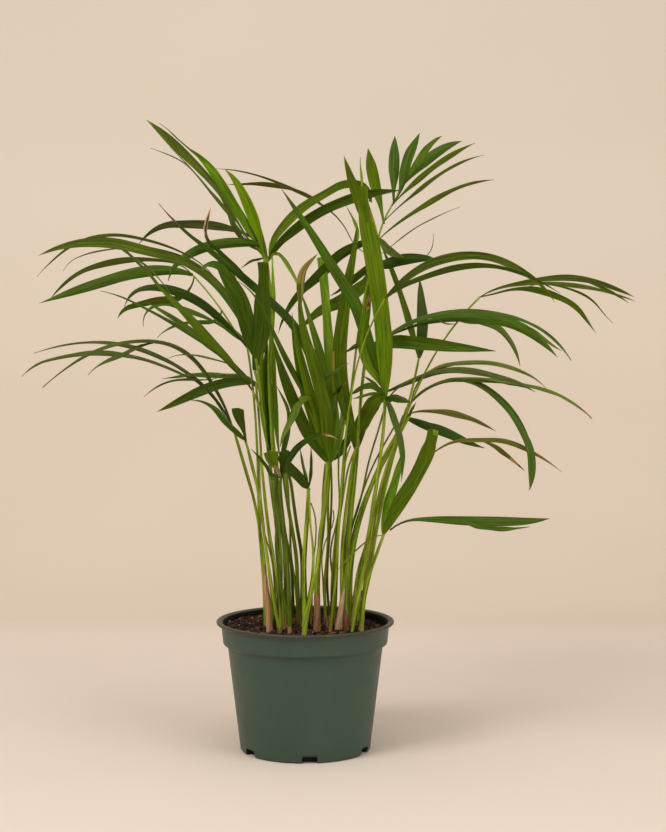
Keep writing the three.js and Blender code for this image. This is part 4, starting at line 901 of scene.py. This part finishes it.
# drain notches with rounded tops
cutters = []
for k in range(6):
    a = math.radians(-90 + 4.6 + 60 * k)
    half_w, top = 7.0, 6.0
    prof = [(-half_w, -4.0), (half_w, -4.0), (half_w, top - 2)] + [
        (half_w - 2 + 2 * math.cos(t), top - 2 + 2 * math.sin(t)) for t in np.linspace(0.3, math.pi / 2, 4)
    ] + [(-half_w + 2 - 2 * math.cos(t), top - 2 + 2 * math.sin(t)) for t in np.linspace(math.pi / 2, 0.3, 4)] + [(-half_w, top - 2)]
    cv, n2 = [], len(prof)
    for d in (FOOT_R - 6.5, FOOT_R + 8):
        for u, z in prof:
            cv.append((math.cos(a) * d - math.sin(a) * u, math.sin(a) * d + math.cos(a) * u, z))
    cf = [list(range(n2))[::-1], [n2 + i for i in range(n2)]] + [[i, (i + 1) % n2, n2 + (i + 1) % n2, n2 + i] for i in range(n2)]
    cutters.append((cv, cf))
cv, cf = [], []
for v_, f_ in cutters:
    cf += [[i + len(cv) for i in f] for f in f_]
    cv += v_
cutter = obj_from("notch_cutter", cv, cf, [pm, shade_mat, notch_shade_mat, rim_mat], [2] * len(cf), smooth=False)
mod = pot.modifiers.new("notches", "BOOLEAN")
mod.operation = "DIFFERENCE"
mod.solver = "EXACT"
mod.object = cutter
bpy.context.view_layer.update()
cut = bpy.data.meshes.new_from_object(pot.evaluated_get(bpy.context.evaluated_depsgraph_get()))
pot.modifiers.clear()
pot.data = cut
bpy.data.objects.remove(cutter)
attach(pot, "root")
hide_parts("pot")


# ---------------------------------------------------------------- growing mix
def soil_material(name, base, rough=0.9, spread=0.4):
    m, nt, b = material(name)
    pos = node(nt, "ShaderNodeTexCoord")
    f = noise(nt, pos.outputs["Object"], 420.0, 4.0, 0.65)
    nt.links.new(ramp(nt, [(0.3, shade(base, 1 - spread)), (0.7, shade(base, 1 + spread))], f), b.inputs["Base Color"])
    b.inputs["Roughness"].default_value = rough
    b.inputs["Specular IOR Level"].default_value = 0.25
    bump(nt, b, noise(nt, pos.outputs["Object"], 900.0, 3.0), 0.5, 0.0006)
    return m


soil_mats = [
    soil_material("mix_dark", lin(30, 18, 11)),
    soil_material("mix_brown", lin(50, 31, 19)),
    soil_material("mix_bark", lin(84, 52, 31)),
    soil_material("mix_orange", lin(124, 78, 46)),
    soil_material("mix_pale", lin(172, 150, 126)),
]


def soil_height(x, y):
    r = np.hypot(x, y)
    drop = 1.9 + 1.7 * x / np.maximum(r, 1.0)
    base = 114.0 - drop * np.clip((r - 52) / 23, 0, 1) ** 1.5
    return base + 0.7 * np.sin(x * 0.21 + 1.3) * np.cos(y * 0.17) + 0.5 * np.sin(x * 0.53 + y * 0.41)


rings_n, seg = 26, 96
radii = np.linspace(0, 75.0, rings_n)
sv, sf = [(0.0, 0.0, float(soil_height(0.0, 0.0)))], []
for i in range(1, rings_n):
    for j in range(seg):
        a = j / seg * 2 * math.pi
        x, y = radii[i] * math.cos(a), radii[i] * math.sin(a)
        rough = rng.normal(0, 0.5) if i < rings_n - 1 else 0.0
        sv.append((x, y, float(soil_height(x, y)) + rough))
for j in range(seg):
    sf.append([0, 1 + j, 1 + (j + 1) % seg])
for i in range(rings_n - 2):
    for j in range(seg):
        j2 = (j + 1) % seg
        p0, p1 = 1 + i * seg, 1 + (i + 1) * seg
        sf.append([p0 + j, p1 + j, p1 + j2, p0 + j2])
last = 1 + (rings_n - 2) * seg
below = [(73.9, 101.6), (69.6, 95.6), (body_r(12) - WALL - 0.4, 12.0), (body_r(4) - WALL - 1.8, 3.6)]
start = len(sv)
for r, z in below:
    for j in range(seg):
        a = j / seg * 2 * math.pi
        sv.append((r * math.cos(a), r * math.sin(a), z))
prev = last
for i in range(len(below)):
    cur = start + i * seg
    for j in range(seg):
        j2 = (j + 1) % seg
        sf.append([prev + j, cur + j, cur + j2, prev + j2])
    prev = cur
sv.append((0.0, 0.0, 3.6))
for j in range(seg):
    sf.append([len(sv) - 1, prev + (j + 1) % seg, prev + j])
soil = Joined()
soil.add(np.array(sv), sf, [soil_mats[0]] * len(sf), np.zeros((len(sv), 2)))
# chips of bark, coir and grit lying on the mix
PHI = (1 + 5**0.5) / 2
ICO = unit(np.array([(-1, PHI, 0), (1, PHI, 0), (-1, -PHI, 0), (1, -PHI, 0), (0, -1, PHI), (0, 1, PHI), (0, -1, -PHI), (0, 1, -PHI), (PHI, 0, -1), (PHI, 0, 1), (-PHI, 0, -1), (-PHI, 0, 1)], float))
ICO_F = [(0, 11, 5), (0, 5, 1), (0, 1, 7), (0, 7, 10), (0, 10, 11), (1, 5, 9), (5, 11, 4), (11, 10, 2), (10, 7, 6), (7, 1, 8), (3, 9, 4), (3, 4, 2), (3, 2, 6), (3, 6, 8), (3, 8, 9), (4, 9, 5), (2, 4, 11), (6, 2, 10), (8, 6, 7), (9, 8, 1)]
CHIPS = 8600
for _ in range(CHIPS):
    r = 74.0 * math.sqrt(rng.uniform())
    a = rng.uniform(0, 2 * math.pi)
    cx, cy = r * math.cos(a), r * math.sin(a)
    size = rng.gamma(2.6, 0.24) + 0.36
    kind = rng.choice(5, p=[0.42, 0.32, 0.16, 0.06, 0.04])
    if kind == 4:
        size = min(size, 0.9)
    stretch = np.array([rng.uniform(0.8, 2.0), rng.uniform(0.6, 1.1), rng.uniform(0.35, 0.8)]) * size
    if r + stretch[0] > 75.0:
        cx *= (74.6 - stretch[0]) / r
        cy *= (74.6 - stretch[0]) / r
    v = ICO * stretch * rng.uniform(0.72, 1.22, (12, 1))
    yaw, tilt = rng.uniform(0, 2 * math.pi), rng.normal(0, 0.35)
    c, s_ = math.cos(yaw), math.sin(yaw)
    ct, st = math.cos(tilt), math.sin(tilt)
    v = v @ np.array([[ct, 0, st], [0, 1, 0], [-st, 0, ct]]).T @ np.array([[c, -s_, 0], [s_, c, 0], [0, 0, 1]]).T
    v = v + np.array([cx, cy, float(soil_height(cx, cy)) + 0.25 * size])
    soil.add(v, ICO_F, [soil_mats[kind]] * 20, np.zeros((12, 2)))
mix = soil.make("growing_mix", ["root_ball"])
flat = np.zeros(len(mix.data.polygons), bool)
mix.data.polygons.foreach_set("use_smooth", flat)

# ---------------------------------------------------------------- stage and light
sm, nt, b = material("backdrop_paper")
pos = node(nt, "ShaderNodeTexCoord")
height = node(nt, "ShaderNodeSeparateXYZ")
nt.links.new(pos.outputs["Object"], height.inputs["Vector"])
# backdrop colour by height: painted light and shade, lighter on the floor, darker over the curve, lighter again near
# 0.6 m, darker above
backdrop_painted_light_by_height = ramp(nt, [(0.0, (0.69, 0.59, 0.50)), (0.012, (0.625, 0.52, 0.42)), (0.27, (0.62, 0.511, 0.407)), (0.6, (0.647, 0.561, 0.463)), (0.9, (0.618, 0.536, 0.44))], height.outputs["Z"])
paper = ramp(nt, [(0.35, (0.96, 0.96, 0.96)), (0.7, (1.0, 1.0, 1.0))], noise(nt, pos.outputs["Object"], 1.6, 2.0))
nt.links.new(mix_colour(nt, 1.0, backdrop_painted_light_by_height, paper, "MULTIPLY"), b.inputs["Base Color"])
b.inputs["Roughness"].default_value = 0.85
b.inputs["Specular IOR Level"].default_value = 0.15
prof = [(-2.6, -0.0005), (0.5, -0.0005)] + [(0.5 + 0.7 * math.sin(t), 0.7 - 0.7 * math.cos(t)) for t in np.linspace(0.1, math.pi / 2, 12)] + [(1.2, 3.4)]
bv = [(x / MM, y / MM, z / MM) for x in (-3.2, 3.2) for y, z in prof]
k = len(prof)
stage = obj_from("backdrop", bv, [[i, k + i, k + i + 1, i + 1] for i in range(k - 1)], [sm])


def area(name, loc, target, size, power, colour):
    d = bpy.data.lights.new(name, "AREA")
    d.energy = power
    d.size = size
    d.color = colour
    o = bpy.data.objects.new(name, d)
    bpy.context.scene.collection.objects.link(o)
    o.location = loc
    v = np.array(target) - np.array(loc)
    o.rotation_euler = (math.acos(-v[2] / np.linalg.norm(v)), 0, math.atan2(v[1], v[0]) - math.pi / 2)
    return o


area("key", (-1.5, -1.5, 2.1), (0, 0, 0.35), 1.1, 42.0, (1.0, 0.985, 0.96))
area("fill", (1.9, -1.6, 1.2), (0, 0, 0.35), 1.6, 20.0, (1.0, 0.985, 0.96))
area("back_wash", (0.4, -0.4, 2.6), (0.1, 1.0, 0.9), 2.0, 20.0, (1.0, 0.985, 0.96))
world = bpy.data.worlds.new("room")
world.use_nodes = True
bg = world.node_tree.nodes["Background"]
bg.inputs["Color"].default_value = (1.0, 0.98, 0.955, 1.0)
bg.inputs["Strength"].default_value = 0.55
bpy.context.scene.world = world
